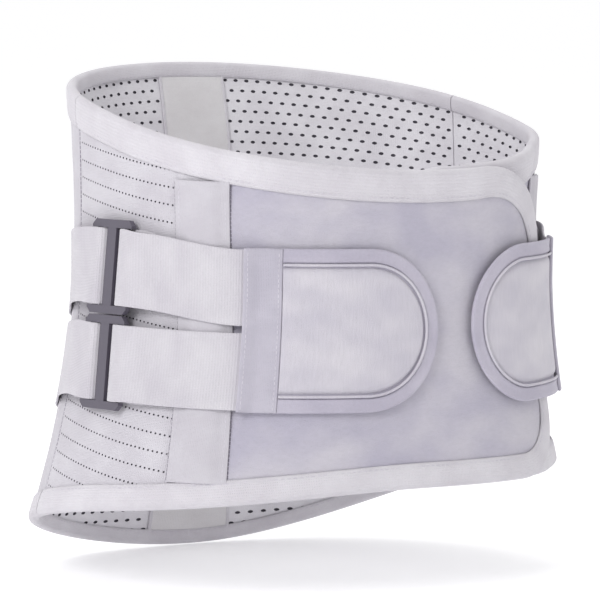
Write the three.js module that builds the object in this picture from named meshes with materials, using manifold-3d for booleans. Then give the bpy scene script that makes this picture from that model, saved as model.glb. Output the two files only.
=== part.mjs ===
// Lumbar support belt, closed as it is worn round a waist.
// Units are millimetres. +Z is up, -Y is the wearer's front and +X is the wearer's left.
// The origin is on the wearer's axis, level with the middle of the pull tabs.
//
// Every soft piece is laid on one body surface. A place on it is (angle, z, offset): the angle runs
// round the wearer in degrees (-90 front, 90 back, 180 wearer's right, 0 wearer's left), z is the
// height, and the offset is the distance out from the innermost face of the belt.

import * as THREE from 'three';
import * as BufferGeometryUtils from 'three/addons/utils/BufferGeometryUtils.js';
import Module from 'manifold-3d';

const wasm = await Module();
wasm.setup();

// ---------------------------------------------------------------- driving dimensions: the body

const HALF_WIDTH = 140;
const HALF_DEPTH = 109;
const SECTION_POWER = 2.3;
const WAIST_Z = 24;
const TOP_DEPTH_FLARE = 0.11;
const TOP_FLARE_REACH = 100;
const HIP_WIDTH_FLARE = 0.17;
const HIP_DEPTH_FLARE = 0.07;
const HIP_FLARE_REACH = 130;
const HIP_FLARE_POWER = 1.7;
const BACKWARD_LEAN = 0.03;

// Rim heights at the front and at the back, the lift at both sides, the further lift at the
// wearer's left, and a third harmonic that keeps the back of the lower rim flat.
const TOP_RIM = { front: 90, back: 142, side: 1, left: 0, third: 0 };
const BOTTOM_RIM = { front: -90, back: -154, side: 12.5, left: 15, third: 3.4 };

// ---------------------------------------------------------------- driving dimensions: layers

const GAP = 0.6;
const LINING = [0, 1.3];
const PANEL = [2, 3.4];
const STAY = [3.9, 4.7];
const STAY_COVER_EDGE = [3.9, 4.9];
const STAY_COVER_RISE = 1.4;
const STRAP_THICKNESS = 1.2;
const STRAP_OVER_COVER = 7.8;
const STRAP_DROP = 3.3;
const STRAP_DROP_LENGTH = 9;
const STRAP_UNDER_BAND = 16;
const REAR_STRAP = [3.9, 5.1];
const REAR_COVER = [5.6, 6.8];
const HOOKS = [3.9, 4.9];
const TAB = [5.4, 8.2];
const BAND = [5.6, 7.8];
const BINDING_THICKNESS = 1.2;
const INNER_FLAP_DROP = 7.9;
const CENTRE_STRIP_LAYER = [-0.9, 0.2];
const CENTRE_STAY = [0.6, 1.4];
const FLAP_HOOKS = [-1.5, -0.4];
const TAB_RIM_STEP = 0.4;

// ---------------------------------------------------------------- driving dimensions: layout

// Angles are for the wearer's right side. On the left side they are mirrored in X.
const SIDE_SEAM = 198;
const SEAM_GAP = 0.3;
const STAY_CENTRE = 144;
const STAY_SLANT = 0.025;
const STAY_COVER_WIDTH = 31;
const STAY_WIDTH = 13;
const STAY_END_MARGIN = 24;
const STAY_COVER_END_MARGIN = 3.5;
const RING_ANGLE = 173.2;
const BAND_START = 134.8;
const LEFT_TAB_SHIFT = 18.7;
const LEFT_TAB_LIFT = 1.6;

const OUTER_FLAP_END = -44;
const INNER_FLAP_END = -112;
const FLAP_CORNER = { top: 74, bottom: 40 };
const FLAP_HOOK_RANGE = [-72, -53];
const FLAP_HOOK_HALF_HEIGHT = 36;
const INNER_FLAP_DROP_RANGE = [16, 40];
const TOP_BINDING_WIDTH = 17;
const BOTTOM_BINDING_WIDTH = 13;
const END_BINDING_WIDTH = 13;

const CENTRE_STRIP = [82, 101];
const REAR_COVER_RANGE = [118, 132];
const REAR_STAY_ANGLE = 121.5;
const REAR_STRAP_END = 126;
const REAR_STRAP_FALL = 17;
const REAR_STRAP_FALL_REACH = 110;
const REAR_STRAP_PER_DEGREE = 2.1;

const STRAP_WIDTH = 44;
const RING_HEIGHT = 54;
const RING_SPACING = 54.8;
const RING_WIDTH = 36;
const RING_END_BAR = 4.7;
const RING_CENTRE_BAR = 8;
const RING_CHAMFER = 3;
const ROD_RADIUS = 1.7;
const ROD_OFFSET = 12.5;
const ROD_ROOM = 0.02;
const RING_MIDDLE_Z = 3.3;
const RING_STANDOFF = 7.6;
const RING_REACH = 53;
const LOOP_CLEARANCE = 0.45;

const BAND_LENGTH = 21;
const STRAP_SPACING_AT_BAND = 48;
const TAB_HALF_HEIGHT = 47;
const TAB_STRAIGHT = 50.5;
const TAB_RIM_WIDTH = 8;
const HOOK_MARGIN = 12;
const LEFT_HOOKS_LENGTH = 32;
const LEFT_HOOKS_TIP_MARGIN = 6;

// ---------------------------------------------------------------- colours

const FABRIC = { roughness: 0.9, metalness: 0 };
const COLOURS = {
  binding: 0xdcd9df,
  loop: 0xc8c4ce,
  side: 0xdedbe4,
  lining: 0xd6d4d9,
  strip: 0xc9c6c7,
  strap: 0xd9d6dc,
  band: 0xc4c0cd,
  tab: 0xd2ced8,
  rim: 0xb9b4c3,
  hooks: 0xa9a5b2,
  ring: 0x5b5763,
  steel: 0x9a9ca0,
};

// ---------------------------------------------------------------- the body surface

const radians = (degrees) => (degrees * Math.PI) / 180;
const mix = (a, b, t) => a + (b - a) * t;

function smooth(from, to, value) {
  const t = Math.min(1, Math.max(0, (value - from) / (to - from)));
  return t * t * (3 - 2 * t);
}

function bodyPoint(angle, z) {
  const c = Math.cos(radians(angle));
  const s = Math.sin(radians(angle));
  const r = (Math.abs(c) ** SECTION_POWER + Math.abs(s) ** SECTION_POWER) ** (-1 / SECTION_POWER);
  const above = Math.max(0, (z - WAIST_Z) / TOP_FLARE_REACH);
  const below = Math.max(0, (WAIST_Z - z) / HIP_FLARE_REACH) ** HIP_FLARE_POWER;
  const wide = 1 + HIP_WIDTH_FLARE * below;
  const deep = 1 + TOP_DEPTH_FLARE * above ** 2 + HIP_DEPTH_FLARE * below;
  return new THREE.Vector3(
    HALF_WIDTH * wide * r * c,
    HALF_DEPTH * deep * r * s + BACKWARD_LEAN * z,
    z,
  );
}

function bodyNormal(angle, z) {
  const round = bodyPoint(angle + 0.5, z).sub(bodyPoint(angle - 0.5, z));
  const up = bodyPoint(angle, z + 1).sub(bodyPoint(angle, z - 1));
  return round.cross(up).normalize();
}

function place(angle, z, offset) {
  return bodyPoint(angle, z).addScaledVector(bodyNormal(angle, z), offset);
}

function rimHeight(rim, angle) {
  const c = Math.cos(radians(angle));
  const s = Math.sin(radians(angle));
  const middle = (rim.front + rim.back) / 2;
  const half = (rim.back - rim.front) / 2;
  const third = rim.third * (Math.sin(radians(3 * angle)) + s);
  const lift = rim.side * c * c + rim.left * Math.max(0, c) ** 2;
  return middle + half * s + lift + third;
}

const topAt = (angle) => rimHeight(TOP_RIM, angle);
const bottomAt = (angle) => rimHeight(BOTTOM_RIM, angle);

// The angle reached after going a length in millimetres round the body at height 0.
function advance(angle, length) {
  const steps = Math.max(1, Math.ceil(Math.abs(length) / 2));
  let reached = angle;
  for (let i = 0; i < steps; i += 1) {
    const perDegree = bodyPoint(reached + 0.5, 0).distanceTo(bodyPoint(reached - 0.5, 0));
    reached += length / steps / perDegree;
  }
  return reached;
}

// A side maps an angle written for the wearer's right (given as a positive number) onto the body.
const SIDES = {
  right: { name: 'right', angle: (a) => -a, turn: 1 },
  left: { name: 'left', angle: (a) => a - 180, turn: -1 },
};

// ---------------------------------------------------------------- closed solids

function solid(points, triangles) {
  const flat = new Float32Array(points.length * 3);
  points.forEach((p, i) => p.toArray(flat, i * 3));
  let geometry = new THREE.BufferGeometry();
  geometry.setAttribute('position', new THREE.BufferAttribute(flat, 3));
  geometry.setIndex(triangles);
  geometry = BufferGeometryUtils.mergeVertices(geometry, 1e-4);
  const kept = [];
  const index = geometry.getIndex().array;
  for (let i = 0; i < index.length; i += 3) {
    const [a, b, c] = [index[i], index[i + 1], index[i + 2]];
    if (a !== b && b !== c && c !== a) kept.push(a, b, c);
  }
  if (signedVolume(geometry.getAttribute('position'), kept) < 0) kept.reverse();
  geometry.setIndex(kept);
  return geometry;
}

function signedVolume(position, index) {
  const [a, b, c] = [new THREE.Vector3(), new THREE.Vector3(), new THREE.Vector3()];
  let volume = 0;
  for (let i = 0; i < index.length; i += 3) {
    a.fromBufferAttribute(position, index[i]);
    b.fromBufferAttribute(position, index[i + 1]);
    c.fromBufferAttribute(position, index[i + 2]);
    volume += a.dot(b.cross(c)) / 6;
  }
  return volume;
}

// A sheet with thickness: at(u, v, face) gives the point, with face 0 inside and 1 outside.
function slab(columns, rows, at) {
  const points = [];
  const id = (i, j, face) => (i * (rows + 1) + j) * 2 + face;
  for (let i = 0; i <= columns; i += 1) {
    for (let j = 0; j <= rows; j += 1) {
      points.push(at(i / columns, j / rows, 0), at(i / columns, j / rows, 1));
    }
  }
  const triangles = [];
  const quad = (a, b, c, d) => triangles.push(a, b, c, a, c, d);
  for (let i = 0; i < columns; i += 1) {
    for (let j = 0; j < rows; j += 1) {
      quad(id(i, j, 1), id(i + 1, j, 1), id(i + 1, j + 1, 1), id(i, j + 1, 1));
      quad(id(i, j, 0), id(i, j + 1, 0), id(i + 1, j + 1, 0), id(i + 1, j, 0));
    }
    quad(id(i, 0, 0), id(i + 1, 0, 0), id(i + 1, 0, 1), id(i, 0, 1));
    quad(id(i, rows, 1), id(i + 1, rows, 1), id(i + 1, rows, 0), id(i, rows, 0));
  }
  for (let j = 0; j < rows; j += 1) {
    quad(id(0, j, 1), id(0, j + 1, 1), id(0, j + 1, 0), id(0, j, 0));
    quad(id(columns, j, 0), id(columns, j + 1, 0), id(columns, j + 1, 1), id(columns, j, 1));
  }
  return solid(points, triangles);
}

// A section carried through stations: at(station, point) gives the place of one section point.
// The section is an outline of {x, y} points, and it may have one hole. Its two ends are closed by
// the triangles that suit it as flatten lays it out.
function sweep(stations, outline, hole, at, flatten = (point) => point) {
  const wound = (list, sign) => (
    THREE.ShapeUtils.area(list) * sign < 0 ? [...list].reverse() : list
  );
  const outer = wound(outline, 1);
  const inner = hole.length > 0 ? wound(hole, -1) : hole;
  const section = [...outer, ...inner];
  const points = stations.flatMap((station) => section.map((point) => at(station, point)));
  const size = section.length;
  const triangles = [];
  const wall = (first, count, k) => {
    for (let i = 0; i < count; i += 1) {
      const a = k * size + first + i;
      const b = k * size + first + ((i + 1) % count);
      triangles.push(a, b, b + size, a, b + size, a + size);
    }
  };
  for (let k = 0; k + 1 < stations.length; k += 1) {
    wall(0, outer.length, k);
    if (inner.length > 0) wall(outer.length, inner.length, k);
  }
  const flat = section.map(flatten).map((p) => new THREE.Vector2(p.x, p.y));
  const outerFlat = flat.slice(0, outer.length);
  const mirrored = THREE.ShapeUtils.area(outerFlat) < 0;
  const holes = inner.length > 0 ? [flat.slice(outer.length)] : [];
  const last = (stations.length - 1) * size;
  for (const [a, b, c] of THREE.ShapeUtils.triangulateShape(outerFlat, holes)) {
    const turned = THREE.ShapeUtils.area([flat[a], flat[b], flat[c]]) < 0;
    const [p, q, r] = turned !== mirrored ? [c, b, a] : [a, b, c];
    triangles.push(r, q, p, last + p, last + q, last + r);
  }
  return solid(points, triangles);
}

function toManifold(geometry) {
  const bare = geometry.clone();
  bare.deleteAttribute('normal');
  bare.deleteAttribute('uv');
  const merged = BufferGeometryUtils.mergeVertices(bare, 1e-4);
  return new wasm.Manifold(new wasm.Mesh({
    numProp: 3,
    vertProperties: new Float32Array(merged.getAttribute('position').array),
    triVerts: new Uint32Array(merged.getIndex().array),
  }));
}

function fromManifold(manifold) {
  const mesh = manifold.getMesh();
  const geometry = new THREE.BufferGeometry();
  geometry.setAttribute('position', new THREE.BufferAttribute(new Float32Array(mesh.vertProperties), 3));
  geometry.setIndex([...mesh.triVerts]);
  return geometry;
}

// ---------------------------------------------------------------- the assembly

const belt = new THREE.Group();

function add(name, geometry, colour, finish = FABRIC) {
  const material = new THREE.MeshStandardMaterial({ color: colour, ...finish });
  const mesh = new THREE.Mesh(geometry, material);
  mesh.name = name;
  belt.add(mesh);
}

const COLUMN_STEP = 6;
const ROW_STEP = 30;
const columnsFor = (from, to) => Math.max(2, Math.round(Math.abs(to - from) / COLUMN_STEP));
const rowsFor = (height) => Math.max(2, Math.round(height / ROW_STEP));

// A panel between two angles, from the lower rim to the upper rim less the margins.
function panel({ from, to, layer, margin = { top: 0, bottom: 0 }, drop = () => 0 }) {
  const fromAt = typeof from === 'function' ? from : () => from;
  const toAt = typeof to === 'function' ? to : () => to;
  const columns = columnsFor(fromAt(0), toAt(0));
  const rows = rowsFor(topAt(fromAt(0)) - bottomAt(fromAt(0)));
  return slab(columns, rows, (u, v, face) => {
    let angle = mix(fromAt(0), toAt(0), u);
    let z = 0;
    for (let pass = 0; pass < 4; pass += 1) {
      z = mix(bottomAt(angle) + margin.bottom, topAt(angle) - margin.top, v);
      angle = mix(fromAt(z), toAt(z), u);
    }
    return place(angle, z, layer[face] + drop(angle));
  });
}

// ---------------------------------------------------------------- back section

const backFrom = SIDES.left.angle(SIDE_SEAM) + SEAM_GAP / 2;
const backTo = 360 + SIDES.right.angle(SIDE_SEAM) - SEAM_GAP / 2;

function makeBackPanels() {
  add('back_panel', panel({ from: backFrom, to: backTo, layer: PANEL }), COLOURS.side);
  const [stripFrom, stripTo] = CENTRE_STRIP;
  const right = { from: stripTo + SEAM_GAP, to: backTo, layer: LINING };
  const left = { from: backFrom, to: stripFrom - SEAM_GAP, layer: LINING };
  add('back_lining_right', panel(right), COLOURS.lining);
  add('back_lining_left', panel(left), COLOURS.lining);
  const strip = { from: stripFrom, to: stripTo, layer: CENTRE_STRIP_LAYER };
  const margin = { top: TOP_BINDING_WIDTH + GAP, bottom: BOTTOM_BINDING_WIDTH + GAP };
  add('centre_lining_strip', panel({ ...strip, margin }), COLOURS.strip);
}

// A flat stay: a thin strip of spring steel that follows the body from top to bottom.
function stay(angle, layer, drop = () => 0) {
  const slant = typeof angle === 'function' ? angle : () => angle;
  const low = bottomAt(slant(0)) + STAY_END_MARGIN;
  const high = topAt(slant(0)) - STAY_END_MARGIN;
  return slab(2, rowsFor(high - low), (u, v, face) => {
    const z = mix(low, high, v);
    const across = advance(slant(z), (u - 0.5) * STAY_WIDTH);
    return place(across, z, layer[face] + drop(across));
  });
}

function makeBackStays() {
  const steel = { roughness: 0.35, metalness: 1 };
  const middle = (CENTRE_STRIP[0] + CENTRE_STRIP[1]) / 2;
  const half = (CENTRE_STRIP[1] - CENTRE_STRIP[0]) / 4;
  add('centre_stay_right', stay(middle + half, CENTRE_STAY), COLOURS.steel, steel);
  add('centre_stay_left', stay(middle - half, CENTRE_STAY), COLOURS.steel, steel);
  const margin = { top: TOP_BINDING_WIDTH + GAP, bottom: BOTTOM_BINDING_WIDTH + GAP };
  for (const side of Object.values(SIDES)) {
    const mirror = (a) => (side.name === 'right' ? a : 180 - a);
    const [near, far] = REAR_COVER_RANGE.map(mirror);
    add(`rear_stay_${side.name}`, stay(mirror(REAR_STAY_ANGLE), STAY), COLOURS.steel, steel);
    const cover = { from: Math.min(near, far), to: Math.max(near, far), layer: REAR_COVER, margin };
    add(`rear_stay_channel_${side.name}`, panel(cover), COLOURS.binding);
  }
}

// ---------------------------------------------------------------- bindings

// A tape folded over an edge: a U whose legs lie outside and inside the layers that it binds.
function bindingSection(width, inner, outer) {
  const edge = -GAP;
  const lip = edge - BINDING_THICKNESS;
  return [
    { x: width, y: outer + GAP },
    { x: width, y: outer + GAP + BINDING_THICKNESS },
    { x: lip, y: outer + GAP + BINDING_THICKNESS },
    { x: lip, y: inner - GAP - BINDING_THICKNESS },
    { x: width, y: inner - GAP - BINDING_THICKNESS },
    { x: width, y: inner - GAP },
    { x: edge, y: inner - GAP },
    { x: edge, y: outer + GAP },
  ];
}

// Each station of an edge path is {angle, z, along, up, width}: a point of the edge, and the
// direction into the panel as millimetres round the body and millimetres up.
function binding(path, drop = () => 0) {
  const outline = bindingSection(1, LINING[0], PANEL[1]);
  return sweep(path, outline, [], (station, point) => {
    const depth = point.x > 0 ? station.width : point.x;
    const angle = advance(station.angle, depth * station.along);
    return place(angle, station.z + depth * station.up, point.y + drop(angle));
  });
}

function rimPath(from, to, rimAt, up, width) {
  const count = columnsFor(from, to);
  return Array.from({ length: count + 1 }, (_, i) => {
    const angle = mix(from, to, i / count);
    return { angle, z: rimAt(angle), along: 0, up, width };
  });
}

function makeBackBindings() {
  const top = rimPath(backFrom, backTo, topAt, -1, TOP_BINDING_WIDTH);
  const bottom = rimPath(backFrom, backTo, bottomAt, 1, BOTTOM_BINDING_WIDTH);
  add('back_top_binding', binding(top), COLOURS.binding);
  add('back_bottom_binding', binding(bottom), COLOURS.binding);
}

// ---------------------------------------------------------------- flaps

const stayCentre = (side) => (z) => side.angle(STAY_CENTRE + STAY_SLANT * z);

// The flap's free end has a straight edge with two round corners. Each list runs down the edge as
// stations of the binding's path.
function flapEdge(end, turn) {
  const corner = { top: topAt(end), bottom: bottomAt(end) };
  const steps = 5;
  const quarter = (radius, cornerZ, sign) => Array.from({ length: steps + 1 }, (_, i) => {
    const t = (i / steps) * (Math.PI / 2);
    const back = radius * (1 - Math.sin(t));
    const angle = advance(end, -turn * back);
    const rim = sign > 0 ? topAt(angle) : bottomAt(angle);
    const fall = radius * (1 - Math.cos(t));
    const z = mix(rim, cornerZ, i / steps) - sign * fall;
    const width = mix(sign > 0 ? TOP_BINDING_WIDTH : BOTTOM_BINDING_WIDTH, END_BINDING_WIDTH, i / steps);
    return { angle, z, along: -turn * Math.sin(t), up: -sign * Math.cos(t), width };
  });
  const upper = quarter(FLAP_CORNER.top, corner.top, 1);
  const lower = quarter(FLAP_CORNER.bottom, corner.bottom, -1).reverse();
  const [above, below] = [upper[steps], lower[0]];
  const straight = [0.25, 0.5, 0.75].map((t) => ({ ...above, z: mix(above.z, below.z, t) }));
  return { upper, straight, lower };
}

function flapBindingPath(start, end, turn) {
  const { upper, straight, lower } = flapEdge(end, turn);
  const [topCorner, bottomCorner] = [upper[0].angle, lower[lower.length - 1].angle];
  const top = rimPath(start, topCorner, topAt, -1, TOP_BINDING_WIDTH).slice(0, -1);
  const bottom = rimPath(bottomCorner, start, bottomAt, 1, BOTTOM_BINDING_WIDTH).slice(1);
  return [...top, ...upper, ...straight, ...lower, ...bottom];
}

// A flap layer from a start angle to its rounded end. The columns close up into the corners.
function flapLayer(startAt, end, turn, layer, drop) {
  const edge = flapEdge(end, turn);
  const upper = edge.upper;
  const lower = [...edge.lower].reverse();
  const bound = (list, angle, rimAt) => {
    const ahead = (a) => (a - angle) * turn;
    if (ahead(list[0].angle) >= 0) return rimAt(angle);
    for (let i = 0; i + 1 < list.length; i += 1) {
      if (ahead(list[i + 1].angle) >= -1e-9) {
        const t = (angle - list[i].angle) / (list[i + 1].angle - list[i].angle);
        return mix(list[i].z, list[i + 1].z, t);
      }
    }
    return list[list.length - 1].z;
  };
  const first = startAt(0);
  const straight = upper[0].angle;
  const before = columnsFor(first, straight);
  const after = 6;
  const rows = rowsFor(topAt(first) - bottomAt(first));
  return slab(before + after, rows, (u, v, face) => {
    const k = Math.round(u * (before + after));
    const t = (k - before) / after;
    const level = k <= before ? mix(first, straight, k / before)
      : mix(straight, end, Math.sin((t * Math.PI) / 2));
    const share = 1 - smooth(0, 1, k / before);
    let angle = level;
    let z = 0;
    for (let pass = 0; pass < 4; pass += 1) {
      z = mix(bound(lower, angle, bottomAt), bound(upper, angle, topAt), v);
      angle = level + (startAt(z) - first) * share;
    }
    return place(angle, z, layer[face] + drop(angle));
  });
}

// The strip that covers the front stay. It rises over the stay and lies flat at its edges.
function stayCover(side, drop) {
  const across = [0, 0.2, 0.3, 0.7, 0.8, 1];
  const centre = stayCentre(side);
  const low = bottomAt(centre(0)) + BOTTOM_BINDING_WIDTH + STAY_COVER_END_MARGIN;
  const high = topAt(centre(0)) - TOP_BINDING_WIDTH - STAY_COVER_END_MARGIN;
  return slab(across.length - 1, 2 * rowsFor(high - low), (u, v, face) => {
    const k = Math.round(u * (across.length - 1));
    const z = mix(low, high, v);
    const angle = advance(centre(z), (across[k] - 0.5) * STAY_COVER_WIDTH);
    const rise = k >= 2 && k <= 3 ? STAY_COVER_RISE : 0;
    return place(angle, z, STAY_COVER_EDGE[face] + rise + drop(angle));
  });
}

function makeFlap(prefix, side, end, drop) {
  const { turn } = side;
  const start = side.angle(SIDE_SEAM) + turn * (SEAM_GAP / 2);
  const centre = stayCentre(side);
  const channelFront = (z) => advance(centre(z), turn * GAP);
  const channelBack = (z) => advance(centre(z), -turn * GAP);
  add(`${prefix}_side_panel`, panel({ from: start, to: channelBack, layer: PANEL, drop }), COLOURS.side);
  add(`${prefix}_flap_panel`, flapLayer(channelFront, end, turn, PANEL, drop), COLOURS.loop);
  add(`${prefix}_flap_lining`, flapLayer(() => start, end, turn, LINING, drop), COLOURS.lining);
  add(`${prefix}_flap_binding`, binding(flapBindingPath(start, end, turn), drop), COLOURS.binding);
  const steel = { roughness: 0.35, metalness: 1 };
  add(`${prefix}_flap_stay`, stay(centre, STAY, drop), COLOURS.steel, steel);
  add(`${prefix}_flap_stay_channel`, stayCover(side, drop), COLOURS.binding);
}

// Hooks inside the outer flap's end, which hold it to the inner flap.
function makeFlapHooks() {
  const [from, to] = FLAP_HOOK_RANGE;
  const geometry = slab(4, 3, (u, v, face) => (
    place(mix(from, to, u), mix(-FLAP_HOOK_HALF_HEIGHT, FLAP_HOOK_HALF_HEIGHT, v), FLAP_HOOKS[face])
  ));
  add('outer_flap_hook_patch', geometry, COLOURS.hooks);
}

// ---------------------------------------------------------------- rings and their loops

// The two rings of a side lie in one plane, so that their rods are in line.
function ringFrame(side) {
  const angle = side.angle(RING_ANGLE);
  const low = place(angle, RING_MIDDLE_Z - RING_REACH, RING_STANDOFF);
  const high = place(angle, RING_MIDDLE_Z + RING_REACH, RING_STANDOFF);
  const up = high.clone().sub(low).normalize();
  const round = bodyPoint(angle + 1, RING_MIDDLE_Z).sub(bodyPoint(angle - 1, RING_MIDDLE_Z));
  const forward = round.multiplyScalar(side.turn);
  forward.addScaledVector(up, -forward.dot(up)).normalize();
  const out = forward.clone().cross(up).multiplyScalar(side.turn).normalize();
  const middle = low.clone().lerp(high, 0.5);
  return { middle, up, forward, out };
}

function inRing(frame, along, height, depth) {
  return frame.middle.clone()
    .addScaledVector(frame.forward, along)
    .addScaledVector(frame.up, height)
    .addScaledVector(frame.out, depth);
}

function ringGeometry() {
  const half = { x: RING_WIDTH / 2, y: RING_HEIGHT / 2 };
  const endBar = new THREE.Shape([
    new THREE.Vector2(-half.x, -RING_END_BAR / 2),
    new THREE.Vector2(half.x, -RING_END_BAR / 2),
    new THREE.Vector2(half.x, RING_END_BAR / 2 - RING_CHAMFER),
    new THREE.Vector2(half.x - RING_CHAMFER, RING_END_BAR / 2),
    new THREE.Vector2(RING_CHAMFER - half.x, RING_END_BAR / 2),
    new THREE.Vector2(-half.x, RING_END_BAR / 2 - RING_CHAMFER),
  ]);
  const thickness = 2 * ROD_RADIUS;
  const bar = new THREE.ExtrudeGeometry(endBar, { depth: thickness, bevelEnabled: false });
  bar.translate(0, 0, -ROD_RADIUS);
  const top = bar.clone().translate(0, half.y - RING_END_BAR / 2, 0);
  const bottom = bar.clone().rotateZ(Math.PI).translate(0, RING_END_BAR / 2 - half.y, 0);
  const reach = RING_HEIGHT - RING_END_BAR;
  const centre = new THREE.BoxGeometry(RING_CENTRE_BAR, reach, thickness - 0.2);
  let ring = toManifold(top).add(toManifold(bottom)).add(toManifold(centre));
  for (const x of [-ROD_OFFSET, ROD_OFFSET]) {
    const rod = new THREE.CylinderGeometry(ROD_RADIUS - ROD_ROOM, ROD_RADIUS - ROD_ROOM, reach, 10);
    ring = ring.add(toManifold(rod.translate(x, 0, 0)));
  }
  return fromManifold(ring);
}

function makeRing(side, level, height) {
  const frame = ringFrame(side);
  const basis = new THREE.Matrix4().makeBasis(
    frame.forward.clone().multiplyScalar(side.turn),
    frame.up,
    frame.out,
  );
  basis.setPosition(inRing(frame, 0, height, 0));
  const geometry = ringGeometry().applyMatrix4(basis);
  add(`${level}_ring_${side.name}`, geometry, COLOURS.ring, { roughness: 0.45, metalness: 0 });
}

// A webbing loop round one rod, with a tail that runs off along the body. Section points are
// {x, y, w}: near the rod (w = 1) x and y are along and out from the ring's plane, and on the
// tail (w = 0) x is the length from the ring's middle and y is the offset from the body.
function loopSection(direction, tail) {
  const inner = ROD_RADIUS + LOOP_CLEARANCE;
  const outer = inner + STRAP_THICKNESS;
  const sides = 10;
  const outline = [];
  const hole = [];
  for (let i = 0; i <= sides; i += 1) {
    const t = -Math.PI / 2 + (Math.PI * i) / sides;
    outline.push({ x: direction * (ROD_OFFSET - outer * Math.cos(t)), y: outer * Math.sin(t), w: 1 });
  }
  for (const point of tail) {
    outline.push({ x: direction * point.x, y: point.y + STRAP_THICKNESS / 2, w: point.w });
  }
  for (const point of [...tail].reverse()) {
    outline.push({ x: direction * point.x, y: point.y - STRAP_THICKNESS / 2, w: point.w });
  }
  for (let i = 0; i < sides; i += 1) {
    const t = (2 * Math.PI * i) / sides;
    hole.push({ x: direction * ROD_OFFSET + inner * Math.cos(t), y: inner * Math.sin(t), w: 1 });
  }
  return { outline, hole };
}

// centreAt gives the height of the strap's centre line at a length from the ring's middle.
function webbing(side, section, ringHeight, centreAt) {
  const frame = ringFrame(side);
  const middle = side.angle(RING_ANGLE);
  const stations = [-0.5, 0, 0.5].map((k) => k * STRAP_WIDTH);
  const at = (across, point) => {
    const near = inRing(frame, point.x, ringHeight + across, point.y);
    if (point.w === 1) return near;
    const angle = advance(middle, side.turn * point.x);
    return place(angle, centreAt(point.x) + across, point.y).lerp(near, point.w);
  };
  return sweep(stations, section.outline, section.hole, at, (point) => at(0, point));
}

// The length round the body from the rings' middle to an angle. way is 1 to the front, -1 to the back.
function lengthTo(side, angle, way) {
  const step = 0.25;
  const ahead = side.turn * way;
  let length = 0;
  while ((angle - advance(side.angle(RING_ANGLE), ahead * length)) * ahead > 0) length += step;
  return length;
}

// The height that a rear strap has lost at a length behind the ring's middle.
function rearFall(length) {
  return REAR_STRAP_FALL * smooth(RING_WIDTH / 2, REAR_STRAP_FALL_REACH, length);
}

function makeRingLoop(side, level, height) {
  const end = lengthTo(side, side.angle(SIDE_SEAM), -1) - GAP;
  const mid = (REAR_STRAP[0] + REAR_STRAP[1]) / 2;
  const tail = [
    { x: 18, y: 0, w: 1 },
    { x: 26, y: mid + 1, w: 0.3 },
    { x: 32, y: mid, w: 0 },
    { x: 38, y: mid, w: 0 },
    { x: 44, y: mid, w: 0 },
    { x: end, y: mid, w: 0 },
  ].filter((point, i, all) => i === all.length - 1 || point.x < end - 2);
  const section = loopSection(-1, tail);
  const ringZ = RING_MIDDLE_Z + height;
  const centreAt = (x) => ringZ - rearFall(-x);
  add(`${level}_ring_loop_${side.name}`, webbing(side, section, height, centreAt), COLOURS.strap);
}

function makeRearStrap(side, level, height) {
  const from = lengthTo(side, side.angle(SIDE_SEAM), -1) + GAP;
  const start = advance(side.angle(RING_ANGLE), -side.turn * from);
  const mirrored = side.name === 'right' ? REAR_STRAP_END - 360 : 180 - REAR_STRAP_END;
  const ringZ = RING_MIDDLE_Z + height;
  const total = (start - mirrored) * side.turn;
  const columns = columnsFor(start, mirrored);
  const geometry = slab(columns, 2, (u, v, face) => {
    const angle = start - side.turn * total * u;
    const length = from + total * u * REAR_STRAP_PER_DEGREE;
    const z = ringZ - rearFall(length) + (v - 0.5) * STRAP_WIDTH;
    return place(angle, z, REAR_STRAP[face]);
  });
  add(`${level}_rear_strap_${side.name}`, geometry, COLOURS.strap);
}

// ---------------------------------------------------------------- pull tabs

// Where a pull tab lies: the angle of its band's edge nearest the rings.
function tabStart(side) {
  const shift = side.name === 'left' ? LEFT_TAB_SHIFT : 0;
  return side.angle(BAND_START + shift);
}

// How far the straps lift the band at a length x from its outer edge. On the right they drop
// down in front of the stay channel, and on the left the band lies on the channel itself.
function bandLift(side, x) {
  return side.name === 'left' ? STRAP_DROP : STRAP_DROP * (1 - smooth(0, STRAP_DROP_LENGTH, x));
}

function makePullStrap(side, level, height) {
  const bandAt = lengthTo(side, tabStart(side), 1);
  const tail = [{ x: 18, y: 0, w: 1 }, { x: 25, y: STRAP_OVER_COVER + 1, w: 0.3 }];
  for (let x = 31; x < bandAt - 3; x += 8) {
    tail.push({ x, y: STRAP_OVER_COVER, w: 0 });
  }
  for (const x of [0, 3, 6, STRAP_DROP_LENGTH, STRAP_UNDER_BAND]) {
    tail.push({ x: bandAt + x, y: STRAP_OVER_COVER - STRAP_DROP + bandLift(side, x), w: 0 });
  }
  const ringZ = RING_MIDDLE_Z + height;
  const bandZ = Math.sign(height) * (STRAP_SPACING_AT_BAND / 2);
  const centreAt = (x) => mix(ringZ, bandZ, smooth(18, bandAt, x));
  const section = loopSection(1, tail);
  add(`${level}_pull_strap_${side.name}`, webbing(side, section, height, centreAt), COLOURS.strap);
}

// Places a point of the tab's outline plane: x from the band's outer edge, y up, offset out.
function onTab(side, x, y, offset) {
  return place(advance(tabStart(side), side.turn * x), y, offset);
}

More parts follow.
